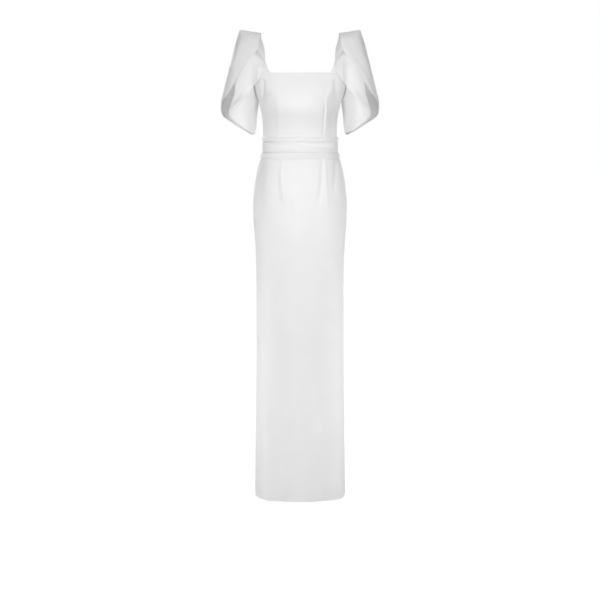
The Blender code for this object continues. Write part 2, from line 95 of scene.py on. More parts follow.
# Soft studio lamps: place, aim, width, power and how far the beam spreads in degrees
LAMP_COLUMNS = ("name", "place", "aim", "size", "power", "spread")
LAMPS = (
    ("front", (0.0, -4.6, -0.55), (0.0, 0.0, -0.16), 0.7, 1.52, 26.0),
    ("key", (-2.9, -3.7, 0.0), (0.0, 0.0, -0.80), 1.2, 0.46, 26.0),
    ("fill", (2.9, -3.7, -0.3), (0.0, 0.0, -0.80), 1.2, 0.35, 26.0),
    ("cross_left", (2.6, -3.8, 0.2), (-0.15, 0.0, -0.24), 0.9, 0.30, 12.0),
    ("cross_right", (-2.6, -3.8, 0.2), (0.15, 0.0, -0.24), 0.9, 0.27, 12.0),
    ("low_front", (0.0, -4.6, -0.9), (0.0, 0.0, -1.38), 0.9, 1.75, 26.0),
    ("back", (-1.9, 4.2, 0.5), (0.0, 0.0, -0.60), 1.6, 66.0, 180.0),
    ("back_fill", (2.4, 3.8, -0.3), (0.0, 0.0, -0.70), 2.0, 26.0, 180.0),
    ("low_left", (-3.1, -0.85, -1.4), (0.0, 0.0, -1.32), 1.1, 1.4, 36.0),
    ("low_right", (3.1, -0.85, -1.4), (0.0, 0.0, -1.32), 1.1, 1.5, 36.0),
    ("rim_left", (-3.0, 1.0, -1.3), (0.0, 0.0, -1.15), 1.1, 1.9, 36.0),
    ("rim_right", (3.0, 1.0, -1.3), (0.0, 0.0, -1.15), 1.1, 1.9, 36.0),
)


def put_in_scene(name, data, place=(0.0, 0.0, 0.0), aim=None):
    made = bpy.data.objects.new(name, data)
    made.location = place
    if aim is not None:
        made.rotation_euler = (Vector(aim) - Vector(place)).to_track_quat("-Z", "Y").to_euler()
    bpy.context.scene.collection.objects.link(made)
    return made


def set_camera():
    lens = bpy.data.cameras.new("camera")
    lens.sensor_width = SENSOR
    lens.lens = SENSOR * (AIM - EYE).length / FRAME_WIDTH
    bpy.context.scene.camera = put_in_scene("camera", lens, EYE, AIM)


def add_lamp(now):
    lamp = bpy.data.lights.new(now["name"], "AREA")
    lamp.shape = "DISK"
    lamp.size = now["size"]
    lamp.energy = now["power"]
    lamp.spread = math.radians(now["spread"])
    put_in_scene(now["name"], lamp, now["place"], now["aim"])


def set_world():
    """A plain white sweep: bright to the eye, a dimmer light for the cloth, with greyer side walls."""
    world = bpy.data.worlds.new("studio")
    bpy.context.scene.world = world
    world.use_nodes = True
    tree = world.node_tree
    direction = add_node(tree, "ShaderNodeTexCoord")
    sideways = add_node(tree, "ShaderNodeSeparateXYZ", {"Vector": direction.outputs["Generated"]})
    far = add_node(tree, "ShaderNodeMath", {0: sideways.outputs["X"]}, operation="ABSOLUTE")
    walls = {
        "Value": far.outputs[0],
        "From Min": WALLS_BEGIN,
        "From Max": WALLS_FULL,
        "To Min": WORLD_LIGHT,
        "To Max": SIDE_LIGHT,
    }
    dimmed = add_node(tree, "ShaderNodeMapRange", walls, interpolation_type="SMOOTHSTEP")
    path = add_node(tree, "ShaderNodeLightPath")
    seen = {"Value": path.outputs["Is Camera Ray"], "To Min": dimmed.outputs["Result"], "To Max": 1.0}
    strength = add_node(tree, "ShaderNodeMapRange", seen)
    background = tree.nodes["Background"]
    background.inputs["Color"].default_value = (1.0, 1.0, 1.0, 1.0)
    tree.links.new(strength.outputs["Result"], background.inputs["Strength"])


def set_floor():
    bpy.ops.mesh.primitive_circle_add(vertices=96, radius=FLOOR_RADIUS, fill_type="NGON")
    floor = bpy.context.object
    floor.name = "floor"
    floor.location = (0.0, 0.0, cad_box[0].z - FLOOR_DROP)
    paint = bpy.data.materials.new("floor_white")
    paint.use_nodes = True
    tree = paint.node_tree
    tree.nodes.clear()
    matte = add_node(tree, "ShaderNodeBsdfDiffuse", {"Color": FLOOR_GREY})
    glow = add_node(tree, "ShaderNodeEmission", {"Strength": FLOOR_GLOW})
    path = add_node(tree, "ShaderNodeLightPath")
    seen = {0: path.outputs["Is Camera Ray"], 1: FLOOR_GLOW_SHARE}
    share = add_node(tree, "ShaderNodeMath", seen, operation="MULTIPLY")
    both = {"Fac": share.outputs[0], 1: matte.outputs[0], 2: glow.outputs[0]}
    mixed = add_node(tree, "ShaderNodeMixShader", both)
    add_node(tree, "ShaderNodeOutputMaterial", {"Surface": mixed.outputs[0]})
    floor.data.materials.append(paint)


set_camera()
set_world()
set_floor()
for lamp_row in LAMPS:
    add_lamp(dict(zip(LAMP_COLUMNS, lamp_row)))
bpy.context.scene.view_settings.view_transform = "Standard"


# Finishes

CREPE_ROUGHNESS = 0.62
CREPE_SHEEN = 0.22
SHEEN_ROUGHNESS = 0.45
GLOW_SHARE = 0.9          # how much of the light goes into the cloth before it comes back
CLOUD_SCALE = 14.0        # faint unevenness of the pressed cloth
CLOUD_DARK = 0.975
CLOUD_PALE = 1.02
PEBBLE_SCALE = 900.0      # the crepe's fine grain
WARP_SCALE = 420.0
WEFT_SCALE = 380.0
THREAD_WANDER = 1.5
WEAVE_SHARE = 0.5
CREPE_BUMP = 0.35
CREPE_DEPTH = 0.00016
PLAIN_BUMP = 0.4


def shader_of(name, colour, roughness, sheen=0.0):
    finish = bpy.data.materials.new(name)
    finish.use_nodes = True
    shader = finish.node_tree.nodes["Principled BSDF"]
    shader.inputs["Base Color"].default_value = (*colour, 1.0)
    shader.inputs["Roughness"].default_value = roughness
    shader.inputs["Sheen Weight"].default_value = sheen
    shader.inputs["Sheen Roughness"].default_value = SHEEN_ROUGHNESS
    return finish, shader


def noise_on(tree, place, scale, detail):
    given = {"Vector": place.outputs["Object"], "Scale": scale, "Detail": detail}
    return add_node(tree, "ShaderNodeTexNoise", given)


def roughened(tree, shader, height, strength, depth):
    given = {"Height": height, "Strength": strength, "Distance": depth}
    bump = add_node(tree, "ShaderNodeBump", given)
    tree.links.new(bump.outputs["Normal"], shader.inputs["Normal"])


def crepe(name, colour, glow):
    """Matte ivory crepe: a fine pebbled grain over a plain weave, with faint pressed unevenness.

    glow is how deep light goes into the cloth, in metres: a single layer lets some of it through.
    """
    finish, shader = shader_of(name, colour, CREPE_ROUGHNESS, CREPE_SHEEN)
    shader.inputs["Subsurface Weight"].default_value = GLOW_SHARE
    shader.inputs["Subsurface Radius"].default_value = (1.0, 1.0, 1.0)
    shader.inputs["Subsurface Scale"].default_value = glow
    tree = finish.node_tree
    place = add_node(tree, "ShaderNodeTexCoord")
    cloud = noise_on(tree, place, CLOUD_SCALE, 3.0)
    shades = {
        "Factor": cloud.outputs["Fac"],
        "A": (*[c * CLOUD_DARK for c in colour], 1.0),
        "B": (*[min(1.0, c * CLOUD_PALE) for c in colour], 1.0),
    }
    tint = add_node(tree, "ShaderNodeMix", shades, data_type="RGBA")
    tree.links.new(tint.outputs["Result"], shader.inputs["Base Color"])

    pebble = noise_on(tree, place, PEBBLE_SCALE, 2.0)
    cut = add_node(tree, "ShaderNodeUVMap", uv_map="cut")
    threads = []
    for axis, scale in (("X", WARP_SCALE), ("Y", WEFT_SCALE)):
        given = {"Vector": cut.outputs["UV"], "Scale": scale, "Distortion": THREAD_WANDER}
        threads.append(add_node(tree, "ShaderNodeTexWave", given, bands_direction=axis))
    crossed = {0: threads[0].outputs["Fac"], 1: threads[1].outputs["Fac"]}
    weave = add_node(tree, "ShaderNodeMath", crossed, operation="MULTIPLY")
    layers = {0: weave.outputs[0], 1: WEAVE_SHARE, 2: pebble.outputs["Fac"]}
    grain = add_node(tree, "ShaderNodeMath", layers, operation="MULTIPLY_ADD")
    roughened(tree, shader, grain.outputs[0], CREPE_BUMP, CREPE_DEPTH)
    return finish


def plain_finish(name, colour, roughness, scale, depth):
    """A smooth or spun finish with a fine uneven surface: thread, tape, enamel."""
    finish, shader = shader_of(name, colour, roughness)
    tree = finish.node_tree
    noise = noise_on(tree, add_node(tree, "ShaderNodeTexCoord"), scale, 3.0)
    roughened(tree, shader, noise.outputs["Fac"], PLAIN_BUMP, depth)
    return finish


IVORY = (0.885, 0.881, 0.882)
BODICE_CREPE = crepe("bodice_crepe", IVORY, 0.0012)
SLEEVE_CREPE = crepe("sleeve_crepe", IVORY, 0.0018)
WAISTBAND_CREPE = crepe("waistband_crepe", IVORY, 0.0008)
SKIRT_CREPE = crepe("skirt_crepe", IVORY, 0.0012)
THREAD = plain_finish("thread", (0.80, 0.80, 0.78), 0.55, 2600.0, 0.00005)
ZIP_TAPE = plain_finish("zip_tape", (0.78, 0.78, 0.76), 0.7, 1500.0, 0.00010)
ZIP_COIL = plain_finish("zip_coil", (0.82, 0.82, 0.80), 0.35, 900.0, 0.00002)
ENAMEL = plain_finish("zip_enamel", (0.78, 0.78, 0.76), 0.28, 500.0, 0.00002)


# The form of the dress, from the same tables as its solids

WALL = 0.0020
SEAM = 0.0003
HEM = -1.518
WAIST_SEAM = -0.356
NECKLINE = -0.1225
BACK_NECKLINE = -0.142
SLIT_TOP = -1.040
SLIT_HALF = 0.0040

BODY_COLUMNS = ("z", "half_width", "front", "back", "square")
BODY_ROWS = (
    (-0.1200, 0.1790, 0.1040, 0.0990, 2.30),
    (-0.1420, 0.1690, 0.1140, 0.1040, 2.30),
    (-0.1600, 0.1600, 0.1220, 0.1060, 2.30),
    (-0.1820, 0.1483, 0.1305, 0.1075, 2.35),
    (-0.2000, 0.1395, 0.1350, 0.1080, 2.40),
    (-0.2150, 0.1330, 0.1370, 0.1075, 2.40),
    (-0.2284, 0.1300, 0.1355, 0.1065, 2.40),
    (-0.2574, 0.1238, 0.1240, 0.1030, 2.35),
    (-0.2900, 0.1212, 0.1090, 0.0970, 2.30),
    (-0.3250, 0.1202, 0.0965, 0.0900, 2.25),
    (-0.3500, 0.1194, 0.0910, 0.0870, 2.20),
    (-0.3720, 0.1204, 0.0930, 0.0895, 2.20),
    (-0.3966, 0.1292, 0.1000, 0.0990, 2.20),
    (-0.4226, 0.1370, 0.1065, 0.1115, 2.20),
    (-0.4617, 0.1452, 0.1130, 0.1260, 2.25),
    (-0.5009, 0.1504, 0.1175, 0.1370, 2.30),
    (-0.5402, 0.1534, 0.1200, 0.1420, 2.30),
    (-0.5796, 0.1537, 0.1215, 0.1420, 2.30),
    (-0.6389, 0.1497, 0.1220, 0.1370, 2.25),
    (-0.7182, 0.1457, 0.1210, 0.1280, 2.25),
    (-0.8000, 0.1441, 0.1190, 0.1220, 2.20),
    (-0.9300, 0.1445, 0.1170, 0.1180, 2.20),
    (-1.0664, 0.1452, 0.1165, 0.1160, 2.20),
    (-1.2706, 0.1480, 0.1180, 0.1170, 2.35),
    (-1.5180, 0.1511, 0.1200, 0.1190, 2.60),
)

EDGE_COLUMNS = ("z", "angle")
FRONT_ARMHOLE_ROWS = (
    (-0.2125, 0.0), (-0.2080, 4.0), (-0.2000, 8.5),
    (-0.1820, 16.6), (-0.1600, 26.0), (-0.1225, 36.0),
)
BACK_ARMHOLE_ROWS = (
    (-0.2125, 0.0), (-0.2080, 4.0), (-0.2000, 9.0),
    (-0.1820, 18.0), (-0.1600, 28.0), (-0.1420, 34.0),
)

STRAP_COLUMNS = ("inner_x", "outer_x", "y", "z", "roll")
STRAP_ROWS = (
    (0.0940, 0.1520, -0.0905, -0.1225, 0.000),
    (0.1000, 0.1515, -0.0870, -0.1140, 0.000),
    (0.1055, 0.1510, -0.0805, -0.1020, 0.001),
    (0.1110, 0.1505, -0.0705, -0.0840, 0.005),
    (0.1118, 0.1510, -0.0590, -0.0620, 0.011),
    (0.1150, 0.1530, -0.0465, -0.0400, 0.012),
    (0.1210, 0.1560, -0.0335, -0.0200, 0.009),
    (0.1262, 0.1590, -0.0160, -0.0050, 0.003),
    (0.1285, 0.1600, 0.0000, 0.0018, 0.000),
    (0.1280, 0.1590, 0.0160, -0.0050, 0.000),
    (0.1260, 0.1570, 0.0350, -0.0230, 0.000),
    (0.1230, 0.1545, 0.0540, -0.0520, 0.000),
    (0.1190, 0.1520, 0.0720, -0.0900, 0.000),
    (0.1100, 0.1500, 0.0830, -0.1420, 0.000),
)
STRAP_ROLL_SHARE = 1 / 2
STRAP_SEAT_SHARE = 1 / 3

SLEEVE_COLUMNS = ("drop", "outer_x", "centre_x", "inner_width", "depth")
SLEEVE_ROWS = (
    (0.0000, 0.1930, 0.1320, 0.0500, 0.0000),
    (0.0030, 0.1940, 0.1320, 0.0500, 0.0140),
    (0.0115, 0.1968, 0.1320, 0.0500, 0.0300),
    (0.0260, 0.2017, 0.1322, 0.0500, 0.0460),
    (0.0460, 0.2084, 0.1330, 0.0510, 0.0605),
    (0.0660, 0.2146, 0.1350, 0.0525, 0.0710),
    (0.0860, 0.2203, 0.1390, 0.0540, 0.0765),
    (0.1267, 0.2316, 0.1550, 0.0560, 0.0820),
    (0.1795, 0.2446, 0.1840, 0.0570, 0.0850),
    (0.2150, 0.2525, 0.1940, 0.0590, 0.0865),
    (0.2290, 0.2555, 0.1965, 0.0612, 0.0870),
    (0.2437, 0.2590, 0.1980, 0.0609, 0.0875),
    (0.2630, 0.2605, 0.1998, 0.0598, 0.0880),
    (0.3010, 0.2605, 0.2020, 0.0588, 0.0885),
    (0.3310, 0.2605, 0.2030, 0.0550, 0.0890),
)
RIDGE_OUTER = 0.0153
RIDGE_CORNER = 0.1930
RIDGE_SLOPE = 0.155
RIDGE_FADE = 0.120
OUTER_PETAL_HEM = -0.3178
LOWER_PETAL_TOP = -0.1400
LOWER_PETAL_HEM = -0.3150
BELL_RADIUS = 0.065        # turns an angle round the bell into metres on a petal
OUTER_FRONT_EDGE = (
    (RIDGE_OUTER, 97.0), (-0.0200, 94.0), (-0.0557, 87.0), (-0.0810, 75.0), (-0.1250, 65.0),
    (-0.1530, 62.0), (-0.1860, 48.0), (-0.2035, 27.0), (-0.2110, 13.0), (-0.2200, 0.0),
    (-0.2300, -6.0), (-0.2420, -12.0), (-0.2515, -19.0), (-0.2615, -33.0), (-0.2712, -50.0),
    (-0.2808, -66.0), (-0.2903, -80.5), (-0.2998, -96.0), (-0.3090, -114.0), (-0.3150, -131.0),
    (OUTER_PETAL_HEM, -147.0),
)
OUTER_BACK_EDGE = (
    (RIDGE_OUTER, -97.0), (-0.0200, -97.0), (-0.1000, -108.0), (-0.1400, -119.0),
    (-0.1600, -130.0), (-0.1820, -145.0), (-0.2000, -159.0), (-0.2125, -179.7),
    (-0.3050, -179.7), (-0.3120, -176.0), (OUTER_PETAL_HEM, -167.0),
)
LOWER_OUTER_EDGE = (
    (LOWER_PETAL_TOP, 92.0), (-0.1700, 78.0), (-0.2000, 69.0), (-0.2300, 63.5), (-0.2430, 61.0),
    (-0.2530, 61.0), (-0.2610, 64.0), (-0.2690, 74.0), (-0.2780, 87.0), (-0.2890, 103.0),
    (-0.2990, 118.0), (-0.3080, 138.0), (LOWER_PETAL_HEM, 160.0),
)
LOWER_INNER_EDGE = (
    (LOWER_PETAL_TOP, 120.0), (-0.1600, 130.0), (-0.1820, 145.0), (-0.2000, 159.0),
    (-0.2125, 179.7), (-0.3050, 179.7), (LOWER_PETAL_HEM, 174.0),
)
DRAPE_COLUMNS = ("rib", "top_x", "top_y", "top_z", "low_x", "low_y", "low_z", "bulge")
DRAPE_ROWS = (
    (0, 0.1520, -0.0570, -0.0400, 0.1360, -0.0580, -0.0520, 0.000),
    (1, 0.1620, -0.0650, -0.0560, 0.1225, -0.0700, -0.0700, 0.002),
    (2, 0.1700, -0.0690, -0.0720, 0.1120, -0.0810, -0.0900, 0.004),
    (3, 0.1780, -0.0720, -0.0890, 0.1120, -0.0910, -0.1170, 0.005),
    (4, 0.1860, -0.0720, -0.1040, 0.1275, -0.0920, -0.1390, 0.006),
    (5, 0.1940, -0.0700, -0.1190, 0.1530, -0.0890, -0.1690, 0.005),
    (6, 0.2000, -0.0680, -0.1330, 0.1850, -0.0850, -0.2040, 0.003),
    (7, 0.2060, -0.0650, -0.1450, 0.2123, -0.0760, -0.2350, 0.002),
)
LAYER = WALL + 0.0012
DRAPE_LEAVES_BELL = 0.136
DRAPE_BLEND = 0.018
UNDERARM_JOIN = math.radians(140.0)


def reader(rows, columns, key, value):
    """A smooth curve through one named column of a table, read at an array of keys."""
    table = np.array(rows, float)
    table = table[np.argsort(table[:, columns.index(key)])]
    keys = table[:, columns.index(key)]
    values = table[:, columns.index(value)]
    chords = np.diff(values) / np.diff(keys)
    before = chords[:-1]
    after = chords[1:]
    rising = before * after > 0.0
    inner = np.where(rising, 2.0 * before * after / np.where(rising, before + after, 1.0), 0.0)
    slopes = np.concatenate([chords[:1], inner, chords[-1:]])

    def read(at):
        at = np.clip(at, keys[0], keys[-1])
        i = np.clip(np.searchsorted(keys, at, side="right") - 1, 0, len(keys) - 2)
        span = keys[i + 1] - keys[i]
        t = (at - keys[i]) / span
        return (
            values[i] * (2 * t**3 - 3 * t**2 + 1)
            + slopes[i] * span * (t**3 - 2 * t**2 + t)
            + values[i + 1] * (3 * t**2 - 2 * t**3)
            + slopes[i + 1] * span * (t**3 - t**2)
        )

    return read


def edge_reader(rows):
    read = reader(rows, EDGE_COLUMNS, "z", "angle")
    return lambda z: np.radians(read(z))


FORM = {name: reader(BODY_ROWS, BODY_COLUMNS, "z", name) for name in BODY_COLUMNS[1:]}
BELL = {name: reader(SLEEVE_ROWS, SLEEVE_COLUMNS, "drop", name) for name in SLEEVE_COLUMNS[1:]}


def mix(a, b, t):
    return a + (b - a) * t


def ease(t):
    t = np.clip(t, 0.0, 1.0)
    return t * t * (3.0 - 2.0 * t)


def points(x, y, z):
    return np.stack(np.broadcast_arrays(x, y, z), axis=-1)


def body_points(angle, z, out=0.0):
    """The outer surface of the dress: the angle goes round from its left side, front positive."""
    power = 2.0 / FORM["square"](z)
    depth = np.where(np.sin(angle) >= 0.0, FORM["front"](z), FORM["back"](z))
    cosine = np.cos(angle)
    sine = np.sin(angle)
    x = (FORM["half_width"](z) + out) * np.copysign(np.abs(cosine) ** power, cosine)
    y = -(depth + out) * np.copysign(np.abs(sine) ** power, sine)
    return points(x, y, z)


def body_angle(x, z):
    share = np.minimum(1.0, np.abs(x) / FORM["half_width"](z))
    return np.arccos(share ** (FORM["square"](z) / 2.0))


def side_gap(z):
    return (SEAM / 2 / FORM["front"](z)) ** (FORM["square"](z) / 2.0)


def bell_points(angle, z, inset=0.0):
    """The sleeve's bell: the angle goes round from its outer side, front positive."""
    drop = RIDGE_OUTER - z
    centre = BELL["centre_x"](drop)
    outer = BELL["outer_x"](drop) - inset - centre
    inner = BELL["inner_width"](drop) - inset
    depth = np.maximum(0.0, BELL["depth"](drop) - inset)
    x = centre + np.where(np.cos(angle) >= 0.0, outer, inner) * np.cos(angle)
    fade = np.maximum(0.0, 1.0 - drop / RIDGE_FADE)
    return points(x, -depth * np.sin(angle), z + (x - RIDGE_CORNER) * RIDGE_SLOPE * fade**2)


def bell_front(x, z, inset):
    """How far forward the front of the sleeve's bell lies at x and z."""
    level = z
    for _ in range(4):
        fade = np.maximum(0.0, 1.0 - (RIDGE_OUTER - level) / RIDGE_FADE)
        level = z - (x - RIDGE_CORNER) * RIDGE_SLOPE * fade**2
    drop = RIDGE_OUTER - level
    centre = BELL["centre_x"](drop)
    outer = BELL["outer_x"](drop) - centre
    width = np.where(x > centre, outer, BELL["inner_width"](drop)) - inset
    share = np.minimum(0.98, np.abs(x - centre) / width)
    return -(BELL["depth"](drop) - inset) * np.sqrt(1.0 - share**2)


# Creases: soft troughs and ridges laid on a panel, each along a curve through three points

CREASE_COLUMNS = ("x0", "z0", "x1", "z1", "x2", "z2", "width", "height", "lean")

# In metres on the front view of the panel. A height below zero is a trough, and lean makes one
# flank steeper.
BODICE_FRONT_CREASES = (
    (0.0860, -0.196, 0.0835, -0.262, 0.0800, -0.354, 0.0036, 0.0026, 0.5),
    (0.0790, -0.200, 0.0765, -0.270, 0.0735, -0.354, 0.0042, -0.0020, 0.0),
    (0.1010, -0.238, 0.1060, -0.285, 0.1050, -0.352, 0.0120, -0.0044, 0.2),
    (-0.0760, -0.176, -0.0700, -0.245, -0.0660, -0.352, 0.0070, 0.0016, -0.2),
    (-0.0560, -0.236, -0.0540, -0.272, -0.0520, -0.330, 0.0080, 0.0009, -0.2),
    (-0.1010, -0.205, -0.0970, -0.270, -0.0990, -0.350, 0.0170, -0.0007, 0.0),
    (-0.0840, -0.182, -0.1000, -0.194, -0.1180, -0.212, 0.0060, 0.0022, 0.3),
    (-0.1150, -0.140, -0.1180, -0.165, -0.1160, -0.205, 0.0060, -0.0040, -0.2),
    (0.1120, -0.138, 0.1160, -0.170, 0.1200, -0.222, 0.0080, -0.0044, 0.2),
    (0.1080, -0.160, 0.0970, -0.182, 0.0850, -0.208, 0.0060, 0.0020, 0.4),
    (-0.1100, -0.242, 0.0000, -0.250, 0.1100, -0.242, 0.0170, 0.0024, 0.0),
    (0.0100, -0.322, 0.0450, -0.330, 0.0760, -0.318, 0.0080, 0.0012, 0.3),
)
BODICE_BACK_CREASES = (
    (0.0620, -0.205, 0.0600, -0.270, 0.0570, -0.352, 0.0040, 0.0022, 0.4),
    (0.0150, -0.292, 0.0450, -0.305, 0.0950, -0.300, 0.0085, -0.0030, 0.2),
    (0.0080, -0.318, 0.0400, -0.322, 0.0850, -0.330, 0.0070, 0.0024, 0.3),
    (0.1040, -0.190, 0.0950, -0.230, 0.0880, -0.290, 0.0080, -0.0030, -0.3),
    (0.0200, -0.180, 0.0420, -0.205, 0.0540, -0.250, 0.0080, 0.0016, 0.0),
)
SKIRT_FRONT_CREASES = (
    (0.0700, -0.368, 0.0735, -0.450, 0.0540, -0.560, 0.0085, -0.0052, 0.1),
    (0.0790, -0.380, 0.0850, -0.460, 0.0900, -0.560, 0.0048, 0.0032, 0.5),
    (-0.0585, -0.385, -0.0600, -0.470, -0.0440, -0.565, 0.0045, 0.0034, -0.5),
    (-0.0690, -0.430, -0.0720, -0.485, -0.0660, -0.540, 0.0070, -0.0030, 0.0),
    (-0.0370, -0.490, -0.0270, -0.550, -0.0300, -0.640, 0.0095, -0.0028, 0.2),
    (0.1180, -0.385, 0.1180, -0.440, 0.1080, -0.520, 0.0090, -0.0048, 0.2),
    (-0.1160, -0.390, -0.1270, -0.470, -0.1240, -0.590, 0.0160, -0.0044, 0.2),
    (0.0000, -0.560, 0.0060, -0.680, -0.0050, -0.820, 0.0260, 0.0022, 0.2),
    (-0.1000, -0.600, -0.1060, -0.760, -0.1000, -0.960, 0.0240, 0.0036, 0.1),
    (0.0950, -0.680, 0.1050, -0.860, 0.1020, -1.080, 0.0240, 0.0036, 0.2),
    (0.0150, -1.030, 0.0480, -1.290, 0.0850, -1.540, 0.0300, -0.0080, 0.2),
    (0.1130, -1.080, 0.1230, -1.300, 0.1330, -1.540, 0.0170, 0.0036, 0.2),
    (-0.1080, -1.120, -0.1110, -1.310, -0.1060, -1.540, 0.0170, 0.0040, 0.0),
    (-0.0600, -1.200, -0.0560, -1.360, -0.0640, -1.540, 0.0240, -0.0036, 0.0),
)
SKIRT_BACK_CREASES = (
    (0.0700, -0.372, 0.0730, -0.430, 0.0690, -0.510, 0.0070, -0.0036, 0.2),
    (0.0160, -0.420, 0.0420, -0.450, 0.0900, -0.450, 0.0100, 0.0024, 0.3),
    (0.0200, -0.650, 0.0600, -0.640, 0.1100, -0.620, 0.0160, -0.0032, 0.1),
    (0.0180, -0.690, 0.0500, -0.690, 0.0950, -0.670, 0.0140, 0.0028, 0.1),
    (0.0500, -0.700, 0.0560, -0.950, 0.0480, -1.230, 0.0260, -0.0044, 0.1),
    (0.0980, -0.720, 0.1040, -0.960, 0.1000, -1.250, 0.0260, 0.0044, 0.0),
    (0.0400, -1.060, 0.0440, -1.290, 0.0380, -1.540, 0.0170, 0.0046, 0.2),
    (0.0800, -1.120, 0.0860, -1.320, 0.0800, -1.540, 0.0220, -0.0056, 0.0),
    (0.1220, -1.100, 0.1260, -1.320, 0.1300, -1.540, 0.0160, 0.0036, 0.1),
)

# On the bell, x is the way round from its outer side, front positive, and z the height
OUTER_PETAL_CREASES = (
    (0.0900, 0.010, 0.0720, -0.060, 0.0560, -0.130, 0.0120, 0.0024, 0.3),
    (0.0500, 0.000, 0.0420, -0.070, 0.0280, -0.170, 0.0120, -0.0028, 0.2),
    (0.0150, -0.020, 0.0060, -0.110, -0.0080, -0.220, 0.0140, 0.0024, 0.0),
    (-0.0300, -0.010, -0.0340, -0.100, -0.0480, -0.230, 0.0140, -0.0034, 0.2),
    (-0.0780, -0.020, -0.0820, -0.120, -0.1000, -0.260, 0.0140, 0.0034, 0.2),
    (-0.1180, -0.120, -0.1300, -0.200, -0.1420, -0.290, 0.0120, -0.0028, 0.1),
)
LOWER_PETAL_CREASES = (
    (0.1300, -0.190, 0.1150, -0.240, 0.1200, -0.290, 0.0130, -0.0010, 0.1),
    (0.1050, -0.200, 0.0950, -0.240, 0.1020, -0.285, 0.0110, 0.0010, 0.2),
)


def along(a, b, path, samples=28):
    """How far a panel's points are along a curve through three points, and to its side."""
    start, middle, end = np.array(path, float).reshape(3, 2)
    t = np.linspace(0.0, 1.0, samples)[:, None]
    pull = 2.0 * middle - 0.5 * (start + end)
    line = start * (1 - t) ** 2 + pull * 2 * t * (1 - t) + end * t**2
    best = np.full(a.shape, np.inf)
    share = np.zeros(a.shape)
    side = np.zeros(a.shape)
    for n in range(samples - 1):
        step = line[n + 1] - line[n]
        length = float(np.hypot(*step))
        da = a - line[n, 0]
        db = b - line[n, 1]
        at = (da * step[0] + db * step[1]) / length**2
        low = 0.0 if n else -np.inf
        high = 1.0 if n < samples - 2 else np.inf
        held = np.clip(at, low, high)
        off = np.hypot(da - held * step[0], db - held * step[1])
        nearer = off < best
        best = np.where(nearer, off, best)
        share = np.where(nearer, (n + held) / (samples - 1), share)
        across = (da * step[1] - db * step[0]) / length
        side = np.where(nearer, np.sign(across), side)
    return share, best * side


def creased(a, b, rows, scale=1.0):
    """How far a set of creases moves each point of a panel out."""
    out = np.zeros(np.broadcast(a, b).shape)
    a, b = np.broadcast_arrays(a, b)
    for row in rows:
        now = dict(zip(CREASE_COLUMNS, row))
        share, off = along(a, b, row[:6])
        reach = np.exp(-((off / now["width"]) ** 2))
        ends = ease(share / 0.3) * ease((1.0 - share) / 0.25)
        if now["z2"] < HEM:
            ends = ease(share / 0.5)
        out += scale * now["height"] * ends * reach * (1.0 + 1.6 * now["lean"] * off / now["width"])
    return out


def dart(a, b, path, reach_out=0.0035, depth=0.0007):
    """A sewn dart: a fine groove that fades at its tip, with a shallow roll of cloth each side."""
    share, off = along(a, b, path)
    line = ease((1.0 - share) / 0.35) * (share <= 1.0) * (share >= 0.0)
    tip = np.exp(-(((share - 0.97) / 0.16) ** 2)) * np.exp(-((off / (3 * reach_out)) ** 2))
    groove = np.exp(-((off / 0.0010) ** 2))
    roll = np.exp(-((off / reach_out) ** 2))
    return line * (0.0005 * roll - depth * groove) + 0.0008 * tip


# Cloth shells: an outer and an inner face that meet in a rounded edge

CLOTH = 0.0016
EDGE_STEPS = np.array([0.0, 0.10, 0.35, 1.0, 2.2, 4.5])    # in edge radii, from the edge inward


def spaced_in(width, middle, radius, first=True, last=True):
    """Shares from 0 to 1 across a width, close together at the ends that are edges."""
    steps = EDGE_STEPS * radius
    steps = steps * min(1.0, width / (4.0 * steps[-1])) / width
    start = steps if first else np.array([0.0])
    end = 1.0 - (steps if last else np.array([0.0]))
    run = np.linspace(start[-1], end[-1], middle)
    return np.concatenate([start[:-1], run, end[:-1][::-1]])


def normals(grid):
    across = np.gradient(grid, axis=1)
    down = np.gradient(grid, axis=0)
    facing = np.cross(across, down)
    return facing / np.maximum(np.linalg.norm(facing, axis=-1, keepdims=True), 1e-12)


def outward_from(face, outward, ridge):
    """Which way is out at each point; along a folded ridge it is straight up from the fold."""
    out = outward * normals(face)
    if ridge:
        out[0, :, 1] = 0.0
        out[0, :, 2] = np.maximum(out[0, :, 2], 1e-6)
        out[0] /= np.linalg.norm(out[0], axis=-1, keepdims=True)
    return out


def arcs(grid, axis):
    step = np.linalg.norm(np.diff(grid, axis=axis), axis=-1)
    start = np.zeros_like(np.take(step, [0], axis=axis))
    return np.concatenate([start, np.cumsum(step, axis=axis)], axis=axis)


